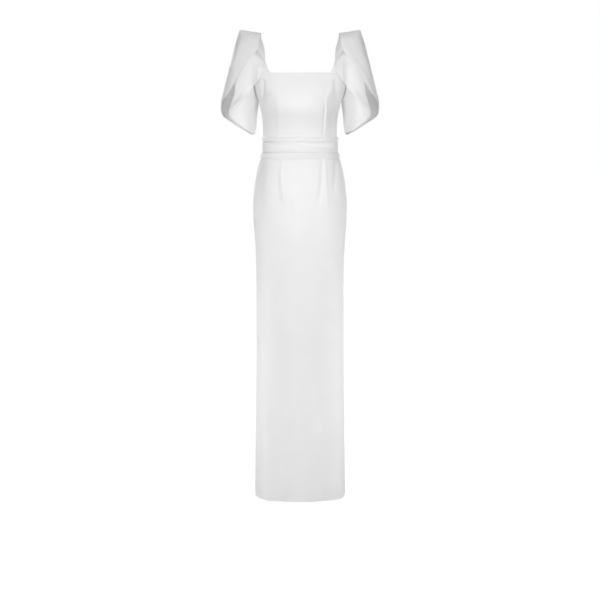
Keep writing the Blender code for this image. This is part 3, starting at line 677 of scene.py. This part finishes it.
def shell(
    name, place, heights, columns, finish, outward,
    relief=None, bead=None, wall=CLOTH, edges="lrtb", ridge=False,
):
    """A cloth panel. place(u, z) gives its outer face; edges names the borders that are rounded.

    relief says how far out each point moves, and bead how much thicker the cloth is there.
    """
    radius = wall / 2
    z = np.array(heights)[:, None]
    sampled = place(np.linspace(0.0, 1.0, 41)[None, :], z)
    widths = arcs(sampled, 1)[:, -1]
    u = np.array([spaced_in(max(w, 1e-4), columns, radius) for w in widths])
    z = np.broadcast_to(z, u.shape)
    face = place(u, z)
    out = outward_from(face, outward, ridge)
    round_way = arcs(face, 1)
    down_way = arcs(face, 0)
    facts = {
        "u": u,
        "z": z,
        "x": face[..., 0],
        "left": round_way,
        "right": round_way[:, -1:] - round_way,
        "top": down_way,
        "bottom": down_way[-1:] - down_way,
    }
    swell = radius + (bead(facts) if bead else np.zeros(u.shape))
    if relief:
        face = face + out * relief(facts)[..., None]
        out = outward_from(face, outward, ridge)
    across = arcs(face, 1)
    down = arcs(face, 0)
    borders = {"l": across, "r": across[:, -1:] - across, "t": down, "b": down[-1:] - down}
    near = np.min([borders[edge] for edge in edges], axis=0)
    half = swell * np.sqrt(1.0 - (1.0 - np.clip(near / swell, 0.0, 1.0)) ** 2)
    outer = face - out * (radius - half)[..., None]
    inner = face - out * (radius + half)[..., None]
    cut = np.stack([across - across[:, -1:] / 2, -down], axis=-1)
    return closed_mesh(name, outer, inner, near <= 1e-9, cut, finish, outward, ridge)


def closed_mesh(name, outer, inner, shared, cut, finish, outward, ridge):
    """Join an outer and an inner grid of points into one closed mesh, with the cut's own UV map."""
    rows, columns = outer.shape[:2]
    outer_id = np.arange(rows * columns).reshape(rows, columns)
    inner_id = np.where(shared, outer_id, outer_id + rows * columns)
    quads = []
    for ids, turned in ((outer_id, outward > 0), (inner_id, outward < 0)):
        ring = [ids[:-1, :-1], ids[1:, :-1], ids[1:, 1:], ids[:-1, 1:]]
        quads.append(np.stack(ring[::-1] if turned else ring, axis=-1).reshape(-1, 4))
    faces = np.concatenate(quads)
    mesh = bpy.data.meshes.new(name)
    everything = np.concatenate([outer.reshape(-1, 3), inner.reshape(-1, 3)])
    used, index = np.unique(faces, return_inverse=True)
    faces = index.reshape(-1, 4)
    mesh.from_pydata(everything[used].tolist(), [], faces.tolist())
    flat = np.concatenate([cut.reshape(-1, 2)] * 2)[used]
    layer = mesh.uv_layers.new(name="cut")
    corner = np.empty(len(mesh.loops), np.int32)
    mesh.loops.foreach_get("vertex_index", corner)
    layer.data.foreach_set("uv", flat[corner].astype(np.float32).ravel())
    if ridge:
        body = bmesh.new()
        body.from_mesh(mesh)
        bmesh.ops.remove_doubles(body, verts=body.verts, dist=0.00002)
        body.to_mesh(mesh)
        body.free()
    mesh.validate()
    mesh.shade_smooth()
    mesh.materials.append(finish)
    return put_in_scene(name, mesh)


# Each panel's finish, its rows and columns of points, and its flat cut's size and area
PANEL_COLUMNS = ("name", "slot", "rows", "columns", "flat", "area", "held")
PANELS = (
    ("bodice_front", "bodice_cloth", 120, 170, (0.46, 0.25), 0.0897, "hung"),
    ("bodice_back", "bodice_cloth", 110, 90, (0.21, 0.225), 0.0383, "hung"),
    ("skirt_front", "skirt_cloth", 180, 150, (0.44, 1.17), 0.4915, "hung"),
    ("skirt_back", "skirt_cloth", 180, 74, (0.23, 1.17), 0.2505, "hung"),
    ("strap", "bodice_cloth", 90, 26, (0.07, 0.26), 0.0131, "hung"),
    ("sleeve_outer", "sleeve_cloth", 130, 106, (0.34, 0.36), 0.0736, "hung"),
    ("sleeve_lower", "sleeve_cloth", 90, 60, (0.13, 0.19), 0.0165, "hung"),
    ("sleeve_drape", "sleeve_cloth", 90, 46, (0.08, 0.22), 0.0106, "draped"),
    ("waistband_upper", "waistband_cloth", 22, 300, (0.69, 0.0165), 0.0111, "folded"),
    ("waistband_middle", "waistband_cloth", 40, 300, (0.70, 0.0340), 0.0236, "folded"),
    ("waistband_lower", "waistband_cloth", 22, 300, (0.745, 0.0205), 0.0151, "folded"),
)
PANEL = {row[0]: dict(zip(PANEL_COLUMNS, row)) for row in PANELS}


def sew_on(piece, node, panel, with_pieces=()):
    """Attach a piece of cloth to the dress and hide the solid it stands for."""
    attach(piece, BODY)
    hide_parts(node)
    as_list(with_pieces)


def added(piece):
    """A piece that no solid stands for: it moves with the dress."""
    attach(piece, BODY)
    return piece


def rows_between(top, bottom, count, first=True, last=True, wall=CLOTH, bias=1.0):
    """Heights from top to bottom, close together at the borders that are edges."""
    shares = spaced_in(abs(top - bottom), count, wall / 2, first, last)
    return mix(top, bottom, shares**bias)


# Sewing: one small shape repeated along a path

ROW_SIZES = ("Spacing", "Length", "Width", "Thickness")
HEM_STITCH = (0.0060, 0.0038, 0.0006, 0.0005)
TAPE_STITCH = (0.0030, 0.0023, 0.0005, 0.0004)
COIL_TURN = (0.0015, 0.0040, 0.0013, 0.0006)
COIL_CORNERS = 10
WIRE_CORNERS = 4
STITCH_SEGMENTS = 6
STITCH_RINGS = 4


def coil_turn(tree, given, sizes):
    """One turn of the zip's coil: a round wire bent in an oval loop."""
    sizes.inputs["Z"].default_value = 1.0
    ring = {"Resolution": COIL_CORNERS, "Radius": 0.5}
    loop = add_node(tree, "GeometryNodeCurvePrimitiveCircle", ring)
    oval = {"Geometry": loop.outputs["Curve"], "Scale": sizes.outputs["Vector"]}
    stretched = add_node(tree, "GeometryNodeTransform", oval)
    halved = {0: given.outputs["Thickness"], 1: 0.5}
    half = add_node(tree, "ShaderNodeMath", halved, operation="MULTIPLY")
    round_wire = {"Resolution": WIRE_CORNERS, "Radius": half.outputs[0]}
    wire = add_node(tree, "GeometryNodeCurvePrimitiveCircle", round_wire)
    swept = {"Curve": stretched.outputs["Geometry"], "Profile Curve": wire.outputs["Curve"]}
    return add_node(tree, "GeometryNodeCurveToMesh", swept)


def row_tree(name, looped, finish):
    """Lay a stitch, or with looped a turn of zip coil, at even steps along a path."""
    tree = bpy.data.node_groups.new(name, "GeometryNodeTree")
    tree.interface.new_socket("Path", in_out="INPUT", socket_type="NodeSocketGeometry")
    for size in ROW_SIZES:
        tree.interface.new_socket(size, in_out="INPUT", socket_type="NodeSocketFloat")
    tree.interface.new_socket("Row", in_out="OUTPUT", socket_type="NodeSocketGeometry")
    given = add_node(tree, "NodeGroupInput")
    line = add_node(tree, "GeometryNodeMeshToCurve", {"Mesh": given.outputs["Path"]})
    even = {"Curve": line.outputs["Curve"], "Length": given.outputs["Spacing"]}
    steps = add_node(tree, "GeometryNodeCurveToPoints", even, mode="LENGTH")
    way = {"Vector": steps.outputs["Tangent"]}
    facing = add_node(tree, "FunctionNodeAlignRotationToVector", way, axis="Z" if looped else "X")
    across = {"X": given.outputs["Length"], "Y": given.outputs["Width"]}
    sizes = add_node(tree, "ShaderNodeCombineXYZ", across)
    placed = {"Points": steps.outputs["Points"], "Rotation": facing.outputs["Rotation"]}
    if looped:
        placed["Instance"] = coil_turn(tree, given, sizes).outputs["Mesh"]
    else:
        tree.links.new(given.outputs["Thickness"], sizes.inputs["Z"])
        bead = {"Segments": STITCH_SEGMENTS, "Rings": STITCH_RINGS, "Radius": 0.5}
        placed["Instance"] = add_node(tree, "GeometryNodeMeshUVSphere", bead).outputs["Mesh"]
        placed["Scale"] = sizes.outputs["Vector"]
    repeated = add_node(tree, "GeometryNodeInstanceOnPoints", placed)
    real = add_node(tree, "GeometryNodeRealizeInstances", {"Geometry": repeated.outputs["Instances"]})
    smooth = add_node(tree, "GeometryNodeSetShadeSmooth", {"Geometry": real.outputs["Geometry"]})
    painted = {"Geometry": smooth.outputs["Geometry"], "Material": finish}
    done = add_node(tree, "GeometryNodeSetMaterial", painted)
    add_node(tree, "NodeGroupOutput", {"Row": done.outputs["Geometry"]})
    return tree


STITCH_TREE = row_tree("stitches", False, THREAD)
COIL_TREE = row_tree("zip_coil", True, ZIP_COIL)


def row_along(name, tree, path, sizes):
    """Run a tree along a path, a list of points, and keep the result as a plain mesh."""
    guide = bpy.data.meshes.new(name + "_guide")
    guide.from_pydata([tuple(point) for point in path], [(n, n + 1) for n in range(len(path) - 1)], [])
    source = put_in_scene(name + "_guide", guide)
    maker = source.modifiers.new("row", "NODES")
    maker.node_group = tree
    for size, value in zip(ROW_SIZES, sizes):
        maker[tree.interface.items_tree[size].identifier] = value
    seen = source.evaluated_get(bpy.context.evaluated_depsgraph_get())
    mesh = bpy.data.meshes.new_from_object(seen)
    source.modifiers.remove(maker)
    bpy.data.objects.remove(source)
    body = bmesh.new()
    body.from_mesh(mesh)
    bmesh.ops.recalc_face_normals(body, faces=body.faces)
    body.to_mesh(mesh)
    body.free()
    mesh.name = name
    return added(put_in_scene(name, mesh))


# Body panels

PRESSED = 0.0085           # a turned-in allowance shows as a faint step this far from an edge
PRESSED_STEP = 0.00022
HEM_TURNING = 0.042
TURNING_CLOTH = 0.0008     # the turned-up hem is pressed thin
TURNING_IN = CLOTH + 0.0004
TURNING_ROWS = 14
TURNING_RISE = 0.0012      # the strip ends this far above the hem's edge
STITCH_IN = TURNING_IN + TURNING_CLOTH + 0.0002
UNDERARM = -0.208
BAND_EDGE = -0.3934        # where the waistband's lower edge bears on the skirt
BACK_CREASE_SCALE = {1.0: 1.3, -1.0: 1.1}     # the two halves of the back don't crease alike

# Sewn darts, each through three points from the waist to its tip
BODICE_FRONT_DARTS = (
    (0.0835, -0.356, 0.0850, -0.290, 0.0880, -0.222),
    (-0.0640, -0.356, -0.0650, -0.290, -0.0700, -0.222),
)
BODICE_BACK_DARTS = ((0.0590, -0.356, 0.0605, -0.290, 0.0640, -0.222),)
SKIRT_FRONT_DARTS = (
    (0.0740, -0.356, 0.0760, -0.420, 0.0750, -0.480),
    (-0.0620, -0.356, -0.0640, -0.420, -0.0620, -0.475),
)
SKIRT_BACK_DARTS = ((0.0700, -0.356, 0.0720, -0.410, 0.0700, -0.470),)


def folded(x, z, creases, darts, scale=1.0):
    """A panel's creases and darts together."""
    return creased(x, z, creases, scale) + sum(dart(x, z, path) for path in darts)


def pressed(distance, at=PRESSED):
    """The soft step where a turned allowance ends beneath the cloth."""
    return PRESSED_STEP * (1.0 - ease((distance - at + 0.001) / 0.002))


def seam_dip(distance, depth=0.0007, reach=0.0030):
    """Cloth pulled in along a sewn seam."""
    return -depth * np.exp(-((distance / reach) ** 2))


def bodice_side(distance, z):
    """A bodice panel's side: sewn to the next panel below the arm, a turned edge round the armhole."""
    below_arm = ease((UNDERARM - z) / 0.010)
    return below_arm * seam_dip(distance) + (1.0 - below_arm) * pressed(distance)


def hem_sewing(label, place, folds, columns, outward):
    """The hem's turned-up strip inside the skirt, and the blind stitches along its top."""
    def turning_place(u, z):
        return place(u, z, -TURNING_IN)

    def relief(at):
        return folds(at["x"], at["z"])

    top = HEM + HEM_TURNING
    heights = rows_between(top, HEM + TURNING_RISE, TURNING_ROWS, wall=TURNING_CLOTH)
    strip = shell(
        "hem_turning_" + label, turning_place, heights, columns, SKIRT_CREPE, outward, relief,
        wall=TURNING_CLOTH,
    )
    u = np.linspace(0.01, 0.99, 2 * columns)[None, :]
    z = np.full(u.shape, top)
    out = folds(place(u, z)[..., 0], z) - STITCH_IN
    path = place(u, z, out)[0]
    stitches = row_along("hem_stitches_" + label, STITCH_TREE, path, HEM_STITCH)
    return (added(strip), stitches)


# The concealed zip: its tapes, coil and stitches lie inside the back panels

TAPE_TOP = -0.148
TAPE_END = -0.622
TAPE_NEAR = 0.0012
TAPE_FAR = 0.0140
TAPE_IN = CLOTH + 0.0010
TAPE_CLOTH = 0.0006
TAPE_STITCH_X = 0.0085
TAPE_STITCH_IN = TAPE_IN + TAPE_CLOTH + 0.0002
COIL_IN = TAPE_IN + TAPE_CLOTH + 0.0008
COIL_TOP = -0.165
COIL_END = -0.612
COIL_OFF = 0.0009
ZIP_POINTS = 240


def inside_back(x, z, inset):
    """A point on the inside of the back, inset from its outer face."""
    face = body_points(-body_angle(np.abs(x), z), z, -inset)
    face[..., 0] *= np.sign(x)
    return face


def zip_side(side, label):
    """One side of the zip: a woven tape, the coil on its edge and the stitches that hold it."""
    def place(u, z):
        x = side * mix(TAPE_NEAR, TAPE_FAR, u)
        return inside_back(x + 0.0 * z, z + 0.0 * u, TAPE_IN)

    def path_down(top, end, x, inset, shift=0.0):
        z = np.linspace(top, end, ZIP_POINTS) - shift
        return inside_back(np.full(z.shape, side * x), z, inset)

    heights = rows_between(TAPE_TOP, TAPE_END, 150, wall=TAPE_CLOTH)
    tape = shell("zip_tape_" + label, place, heights, 10, ZIP_TAPE, side, wall=TAPE_CLOTH)
    half_turn = COIL_TURN[0] / 2 if side > 0 else 0.0
    coil_path = path_down(COIL_TOP, COIL_END, COIL_OFF, COIL_IN, half_turn)
    coil = row_along("zip_coil_" + label, COIL_TREE, coil_path, COIL_TURN)
    stitch_path = path_down(TAPE_TOP - 0.002, TAPE_END + 0.002, TAPE_STITCH_X, TAPE_STITCH_IN)
    name = "zip_stitches_" + label
    stitches = row_along(name, STITCH_TREE, stitch_path, TAPE_STITCH)
    return (added(tape), coil, stitches)


def bodice_front():
    panel = PANEL["bodice_front"]
    armhole = edge_reader(FRONT_ARMHOLE_ROWS)

    def place(u, z):
        edge = np.maximum(armhole(z), side_gap(z))
        return body_points(mix(edge, math.pi - edge, u), z)

    def relief(at):
        out = folded(at["x"], at["z"], BODICE_FRONT_CREASES, BODICE_FRONT_DARTS)
        out += bodice_side(at["left"], at["z"]) + bodice_side(at["right"], at["z"])
        return out + pressed(at["top"])

    heights = rows_between(NECKLINE, WAIST_SEAM + SEAM / 2, panel["rows"])
    piece = shell("bodice_front_crepe", place, heights, panel["columns"], BODICE_CREPE, 1.0, relief)
    sew_on(piece, "bodice_front", panel)


def bodice_back(side, label):
    panel = PANEL["bodice_back"]
    armhole = edge_reader(BACK_ARMHOLE_ROWS)

    def place(u, z):
        edge = np.maximum(armhole(z), side_gap(z))
        face = body_points(-mix(edge, body_angle(SEAM / 2, z), u), z)
        return face * np.array([side, 1.0, 1.0])

    def relief(at):
        scale = BACK_CREASE_SCALE[side]
        out = folded(side * at["x"], at["z"], BODICE_BACK_CREASES, BODICE_BACK_DARTS, scale)
        out += bodice_side(at["left"], at["z"]) + seam_dip(at["right"], 0.0005, 0.0022)
        return out + pressed(at["top"])

    heights = rows_between(BACK_NECKLINE, WAIST_SEAM + SEAM / 2, panel["rows"])
    name = "bodice_back_crepe_" + label
    piece = shell(name, place, heights, panel["columns"], BODICE_CREPE, -side, relief)
    sew_on(piece, "bodice_back_" + label, panel, zip_side(side, label))


def skirt_rows(count):
    """Heights for the skirt: closest together at the waistband's edge and at the hem."""
    rows = rows_between(WAIST_SEAM - SEAM / 2, HEM, count, bias=1.25)
    at_band = np.linspace(BAND_EDGE + 0.0029, BAND_EDGE - 0.0041, 9)
    return np.sort(np.concatenate([rows, at_band]))[::-1]


def tucked(z):
    """The skirt pulled in a little where the waistband's lower edge bears on it."""
    return -0.0016 * np.exp(-(((z - BAND_EDGE) / 0.0018) ** 2))


def skirt_front_place(u, z, out=0.0):
    edge = side_gap(z)
    return body_points(mix(edge, math.pi - edge, u), z, out)


def skirt_front():
    panel = PANEL["skirt_front"]

    def folds(x, z):
        return creased(x, z, SKIRT_FRONT_CREASES)

    def relief(at):
        out = folded(at["x"], at["z"], SKIRT_FRONT_CREASES, SKIRT_FRONT_DARTS)
        out += seam_dip(at["left"]) + seam_dip(at["right"]) + tucked(at["z"])
        return out + pressed(at["bottom"], HEM_TURNING)

    heights = skirt_rows(panel["rows"])
    name = "skirt_front_crepe"
    piece = shell(name, skirt_front_place, heights, panel["columns"], SKIRT_CREPE, 1.0, relief)
    sew_on(piece, "skirt_front", panel, hem_sewing("front", skirt_front_place, folds, 100, 1.0))


def slit_half(z):
    return mix(SEAM / 2, SLIT_HALF, np.clip((SLIT_TOP - z) / (SLIT_TOP - HEM), 0.0, 1.0))


def skirt_back(side, label):
    panel = PANEL["skirt_back"]
    scale = BACK_CREASE_SCALE[side]

    def place(u, z, out=0.0):
        face = body_points(-mix(side_gap(z), body_angle(slit_half(z), z), u), z, out)
        return face * np.array([side, 1.0, 1.0])

    def folds(x, z):
        return creased(side * x, z, SKIRT_BACK_CREASES, scale)

    def relief(at):
        closed = ease((at["z"] - SLIT_TOP) / 0.020)
        out = folded(side * at["x"], at["z"], SKIRT_BACK_CREASES, SKIRT_BACK_DARTS, scale)
        out += seam_dip(at["left"]) + closed * seam_dip(at["right"], 0.0006, 0.0026) + tucked(at["z"])
        return out + (1.0 - closed) * pressed(at["right"]) + pressed(at["bottom"], HEM_TURNING)

    heights = skirt_rows(panel["rows"])
    name = "skirt_back_crepe_" + label
    piece = shell(name, place, heights, panel["columns"], SKIRT_CREPE, -side, relief)
    sew_on(piece, "skirt_back_" + label, panel, hem_sewing("back_" + label, place, folds, 50, -side))


# Waistband: three folds of draped crepe, each lying over the one below

BAND_CLOTH = 0.0018
BAND_SIDE_OUT = 0.0040     # the folds lie flatter at the sides

BAND_COLUMNS = ("name", "top", "bottom", "top_out", "full_out", "low_out")
BANDS = (
    ("upper", -0.3265, -0.3400, 0.0026, 0.0056, 0.0068),
    ("middle", -0.3419, -0.3721, 0.0023, 0.0050, 0.0068),
    ("lower", -0.3741, -0.3915, 0.0023, 0.0048, 0.0064),
)
BAND_SWAY_COLUMNS = ("name", "phase", "turns", "height")
BAND_SWAYS = (
    ("upper", 0.6, 2.0, 0.0007),
    ("upper", 2.1, 5.0, 0.0004),
    ("middle", 1.9, 3.0, 0.0005),
    ("lower", 0.2, 2.0, 0.0004),
)
# Where a fold's lower edge gapes: the gap's middle along the front, its reach, its lift and way out
BAND_GAPE_COLUMNS = ("name", "x", "reach", "lift", "out")
BAND_GAPES = (
    ("upper", 0.012, 0.060, 0.0028, 0.0020),
    ("upper", 0.085, 0.030, 0.0012, 0.0012),
    ("middle", 0.070, 0.060, 0.0016, 0.0014),
    ("middle", -0.070, 0.050, 0.0003, 0.0006),
    ("lower", -0.020, 0.060, 0.0008, 0.0012),
)
# Fine folds in the band: x0 and x1 along the front, z, the fold's width and height
BAND_FOLD_COLUMNS = ("name", "x0", "z0", "x1", "z1", "width", "height")
BAND_FOLDS = (
    ("upper", -0.010, -0.3306, 0.140, -0.3300, 0.0014, -0.0026),
    ("upper", -0.130, -0.3350, -0.020, -0.3378, 0.0014, -0.0018),
    ("middle", -0.115, -0.3480, 0.040, -0.3500, 0.0030, -0.0012),
    ("middle", 0.000, -0.3585, 0.118, -0.3560, 0.0040, -0.0014),
    ("middle", -0.118, -0.3665, -0.010, -0.3680, 0.0022, 0.0012),
    ("middle", 0.030, -0.3690, 0.125, -0.3680, 0.0016, -0.0012),
    ("lower", -0.050, -0.3810, 0.100, -0.3800, 0.0026, -0.0012),
    ("lower", 0.060, -0.3775, 0.130, -0.3768, 0.0014, -0.0016),
)


def rows_of(rows, columns, name):
    """The rows of a table that belong to one fold of the band, by their columns' names."""
    return [dict(zip(columns, row)) for row in rows if row[0] == name]


def waistband(row):
    now = dict(zip(BAND_COLUMNS, row))
    panel = PANEL["waistband_" + now["name"]]
    out_rows = (
        (0.0, now["top_out"]),
        (0.22, mix(now["top_out"], now["full_out"], 0.8)),
        (0.6, now["full_out"]),
        (1.0, now["low_out"]),
    )
    out_at = reader(out_rows, ("share", "out"), "share", "out")
    sways = rows_of(BAND_SWAYS, BAND_SWAY_COLUMNS, now["name"])
    folds = rows_of(BAND_FOLDS, BAND_FOLD_COLUMNS, now["name"])
    gapes = rows_of(BAND_GAPES, BAND_GAPE_COLUMNS, now["name"])

    def place(u, z):
        share = (z - now["top"]) / (now["bottom"] - now["top"])
        down = np.clip(share, 0.0, 1.0)
        gap = math.pi / 2 - body_angle(SEAM, z)
        angle = mix(-math.pi / 2 + gap, 3 * math.pi / 2 - gap, u)
        flush = (now["low_out"] - BAND_SIDE_OUT) * down**2 * np.cos(angle) ** 2
        face = body_points(angle, z, out_at(share) - flush)
        sway = sum(s["height"] * np.sin(s["turns"] * angle + s["phase"]) for s in sways)
        face[..., 2] += sway * np.sin(math.pi * down) ** 0.5
        front = face[..., 1] < 0.0
        for gape in gapes:
            near = np.exp(-(((face[..., 0] - gape["x"]) / gape["reach"]) ** 2))
            open_share = front * near * share**3
            face[..., 2] += gape["lift"] * open_share
            face[..., 1] -= gape["out"] * open_share
        return face

    def relief(at):
        out = np.zeros(at["u"].shape)
        front = (at["u"] > 0.25) & (at["u"] < 0.75)
        for fold in folds:
            x = np.where(front, at["x"], -at["x"])
            share = (x - fold["x0"]) / (fold["x1"] - fold["x0"])
            level = mix(fold["z0"], fold["z1"], share)
            ends = ease(share / 0.25) * ease((1.0 - share) / 0.2)
            out += fold["height"] * ends * np.exp(-(((at["z"] - level) / fold["width"]) ** 2))
        return out

    heights = rows_between(now["top"], now["bottom"], panel["rows"])
    piece = shell(
        "waistband_crepe_" + now["name"], place, heights, panel["columns"], WAISTBAND_CREPE, 1.0,
        relief, wall=BAND_CLOTH,
    )
    sew_on(piece, panel["name"], panel)


# Straps and petal sleeves

STRAP_LENGTH = 0.31
STRAP_PRESSED = 0.007
DRAPE_LENGTH = 0.24
TURNED_EDGE = 0.0050      # width of the petals' turned edge, where the cloth lies double
TURNED_SWELL = 0.0019     # how much thicker each side of it is
PETAL_FLARE = 0.0030      # how far the outer petal's front edge turns out
OUTER_CREASE_SCALE = {1.0: 1.0, -1.0: 0.85}    # the two sleeves don't crease alike
LOWER_CREASE_SCALE = {1.0: 1.0, -1.0: 0.9}


def strap(side, label):
    panel = PANEL["strap"]
    steps = np.linspace(0.0, 1.0, len(STRAP_ROWS))
    table = dict(zip(STRAP_COLUMNS, np.array(STRAP_ROWS).T))

    def place(u, v):
        now = {name: np.interp(v, steps, column) for name, column in table.items()}
        x = mix(now["inner_x"], now["outer_x"], u)
        y = now["y"] + now["roll"] * (1.0 - np.minimum(1.0, u / STRAP_ROLL_SHARE)) ** 2
        z = now["z"] + 0.0 * u
        front_seat = np.maximum(0.0, 1.0 - v / STRAP_SEAT_SHARE)
        back_seat = np.maximum(0.0, 1.0 - (1.0 - v) / STRAP_SEAT_SHARE)
        front_edge = np.full(x.shape, NECKLINE)
        back_edge = np.full(x.shape, BACK_NECKLINE)
        on_front = body_points(body_angle(x, np.minimum(z, NECKLINE)), front_edge)[..., 1]
        on_back = body_points(-body_angle(x, back_edge), back_edge)[..., 1]
        y = mix(y, on_front, front_seat**2)
        y = mix(y, on_back, back_seat**2)
        return points(side * x, y, z + 2 * SEAM * (front_seat + back_seat))

    def relief(at):
        return pressed(at["left"], STRAP_PRESSED) + pressed(at["right"], STRAP_PRESSED)

    heights = spaced_in(STRAP_LENGTH, panel["rows"], CLOTH / 2)
    name = "strap_crepe_" + label
    piece = shell(name, place, heights, panel["columns"], BODICE_CREPE, side, relief)
    sew_on(piece, "strap_" + label, panel)


def turned(distance, share):
    """A petal's turned edge: a soft double fold of the cloth that catches the light."""
    return share * TURNED_SWELL * (1.0 - ease(distance / TURNED_EDGE))


def sleeve_outer(side, label):
    panel = PANEL["sleeve_outer"]
    front = edge_reader(OUTER_FRONT_EDGE)
    back = edge_reader(OUTER_BACK_EDGE)

    def place(u, z):
        return bell_points(mix(front(z), back(z), u), z) * np.array([side, 1.0, 1.0])

    def relief(at):
        angle = mix(front(at["z"]), back(at["z"]), at["u"])
        scale = OUTER_CREASE_SCALE[side]
        out = creased(angle * BELL_RADIUS, at["z"], OUTER_PETAL_CREASES, scale)
        out *= ease((RIDGE_OUTER - at["z"]) / 0.020)
        flare = PETAL_FLARE * ease((-0.080 - at["z"]) / 0.060) * (1.0 - ease(at["left"] / 0.014))
        return out + flare + pressed(at["bottom"]) + pressed(at["right"])

    def bead(at):
        return turned(at["left"], ease((-0.060 - at["z"]) / 0.060))

    heights = rows_between(RIDGE_OUTER, OUTER_PETAL_HEM, panel["rows"], first=False)
    by_ridge = mix(RIDGE_OUTER, heights[1], np.array([0.0, 0.2, 0.5]))
    heights = np.concatenate([by_ridge, heights[1:]])
    piece = shell(
        "sleeve_outer_crepe_" + label, place, heights, panel["columns"], SLEEVE_CREPE, side,
        relief, bead, edges="lrb", ridge=True,
    )
    sew_on(piece, "sleeve_outer_" + label, panel)


def sleeve_lower(side, label):
    panel = PANEL["sleeve_lower"]
    outer = edge_reader(LOWER_OUTER_EDGE)
    inner = edge_reader(LOWER_INNER_EDGE)

    def place(u, z):
        angle = mix(outer(z), inner(z), u)
        joined = (angle - UNDERARM_JOIN) / (math.pi - UNDERARM_JOIN)
        under = 1.0 - np.clip(joined, 0.0, 1.0)
        return bell_points(angle, z, 2 * LAYER * under) * np.array([side, 1.0, 1.0])

    def relief(at):
        angle = mix(outer(at["z"]), inner(at["z"]), at["u"])
        scale = LOWER_CREASE_SCALE[side]
        out = creased(angle * BELL_RADIUS, at["z"], LOWER_PETAL_CREASES, scale)
        return out + pressed(at["left"]) + pressed(at["bottom"])

    heights = rows_between(LOWER_PETAL_TOP, LOWER_PETAL_HEM, panel["rows"])
    name = "sleeve_lower_crepe_" + label
    piece = shell(name, place, heights, panel["columns"], SLEEVE_CREPE, -side, relief)
    sew_on(piece, "sleeve_lower_" + label, panel)


DRAPE_LIFT = 0.0080       # the drape's lower edge stands off the petal beneath
DRAPE_UNDER = 0.0021      # how far the drape lies inside the outer petal where that covers it
DRAPE_SEAT = {1.0: 0.80, -1.0: 1.0}   # how closely each side's drape is laid on to the bodice
DRAPE_FEATHER = 0.0006    # its edge is this much thinner each side where it lies there

# How far the drape's lower edge goes back to lie on the strap and the bodice, by rib
DRAPE_SEAT_ROWS = (
    (0.0, 0.0000), (1.0, 0.0062), (2.0, 0.0070), (3.0, 0.0030), (3.5, 0.0050),
    (4.0, 0.0070), (4.6, 0.0038), (5.2, 0.0006), (5.8, 0.0000),
)


def sleeve_drape(side, label):
    panel = PANEL["sleeve_drape"]
    reads = {name: reader(DRAPE_ROWS, DRAPE_COLUMNS, "rib", name) for name in DRAPE_COLUMNS[1:]}
    last = DRAPE_ROWS[-1][0]
    seat = reader(DRAPE_SEAT_ROWS, ("rib", "back"), "rib", "back")

    def place(u, v):
        now = {name: read(v * last) for name, read in reads.items()}
        x = mix(now["top_x"], now["low_x"], u)
        z = mix(now["top_z"], now["low_z"], u)
        free = mix(now["top_y"], now["low_y"], u) - now["bulge"] * 4.0 * u * (1.0 - u)
        on_bell = np.clip((x - DRAPE_LEAVES_BELL) / DRAPE_BLEND, 0.0, 1.0)
        inset = mix(DRAPE_UNDER, LAYER, ease((-0.100 - z) / 0.050))
        y = mix(free, bell_front(x, z, inset), on_bell)
        return points(side * x, y + DRAPE_SEAT[side] * seat(v * last) * u**3, z)

    def relief(at):
        over_petal = ease((at["z"] - 0.62) / 0.22)
        lift = DRAPE_LIFT * over_petal * (1.0 - ease(at["right"] / 0.020))
        return lift + pressed(at["right"]) + pressed(at["bottom"])

    def bead(at):
        feathered = (1.0 - ease((at["z"] - 0.50) / 0.12)) * (1.0 - ease(at["right"] / 0.008))
        return turned(at["right"], ease((at["z"] - 0.55) / 0.20)) - DRAPE_FEATHER * feathered

    heights = spaced_in(DRAPE_LENGTH, panel["rows"], CLOTH / 2)
    name = "sleeve_drape_crepe_" + label
    piece = shell(name, place, heights, panel["columns"], SLEEVE_CREPE, side, relief, bead)
    sew_on(piece, "sleeve_drape_" + label, panel)


bodice_front()
skirt_front()
for band in BANDS:
    waistband(band)
for side, label in SIDES:
    bodice_back(side, label)
    skirt_back(side, label)
    strap(side, label)
    sleeve_outer(side, label)
    sleeve_lower(side, label)
    sleeve_drape(side, label)

for name in ("zip_slider", "zip_pull"):
    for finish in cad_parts[name].material_slots:
        finish.material = ENAMEL
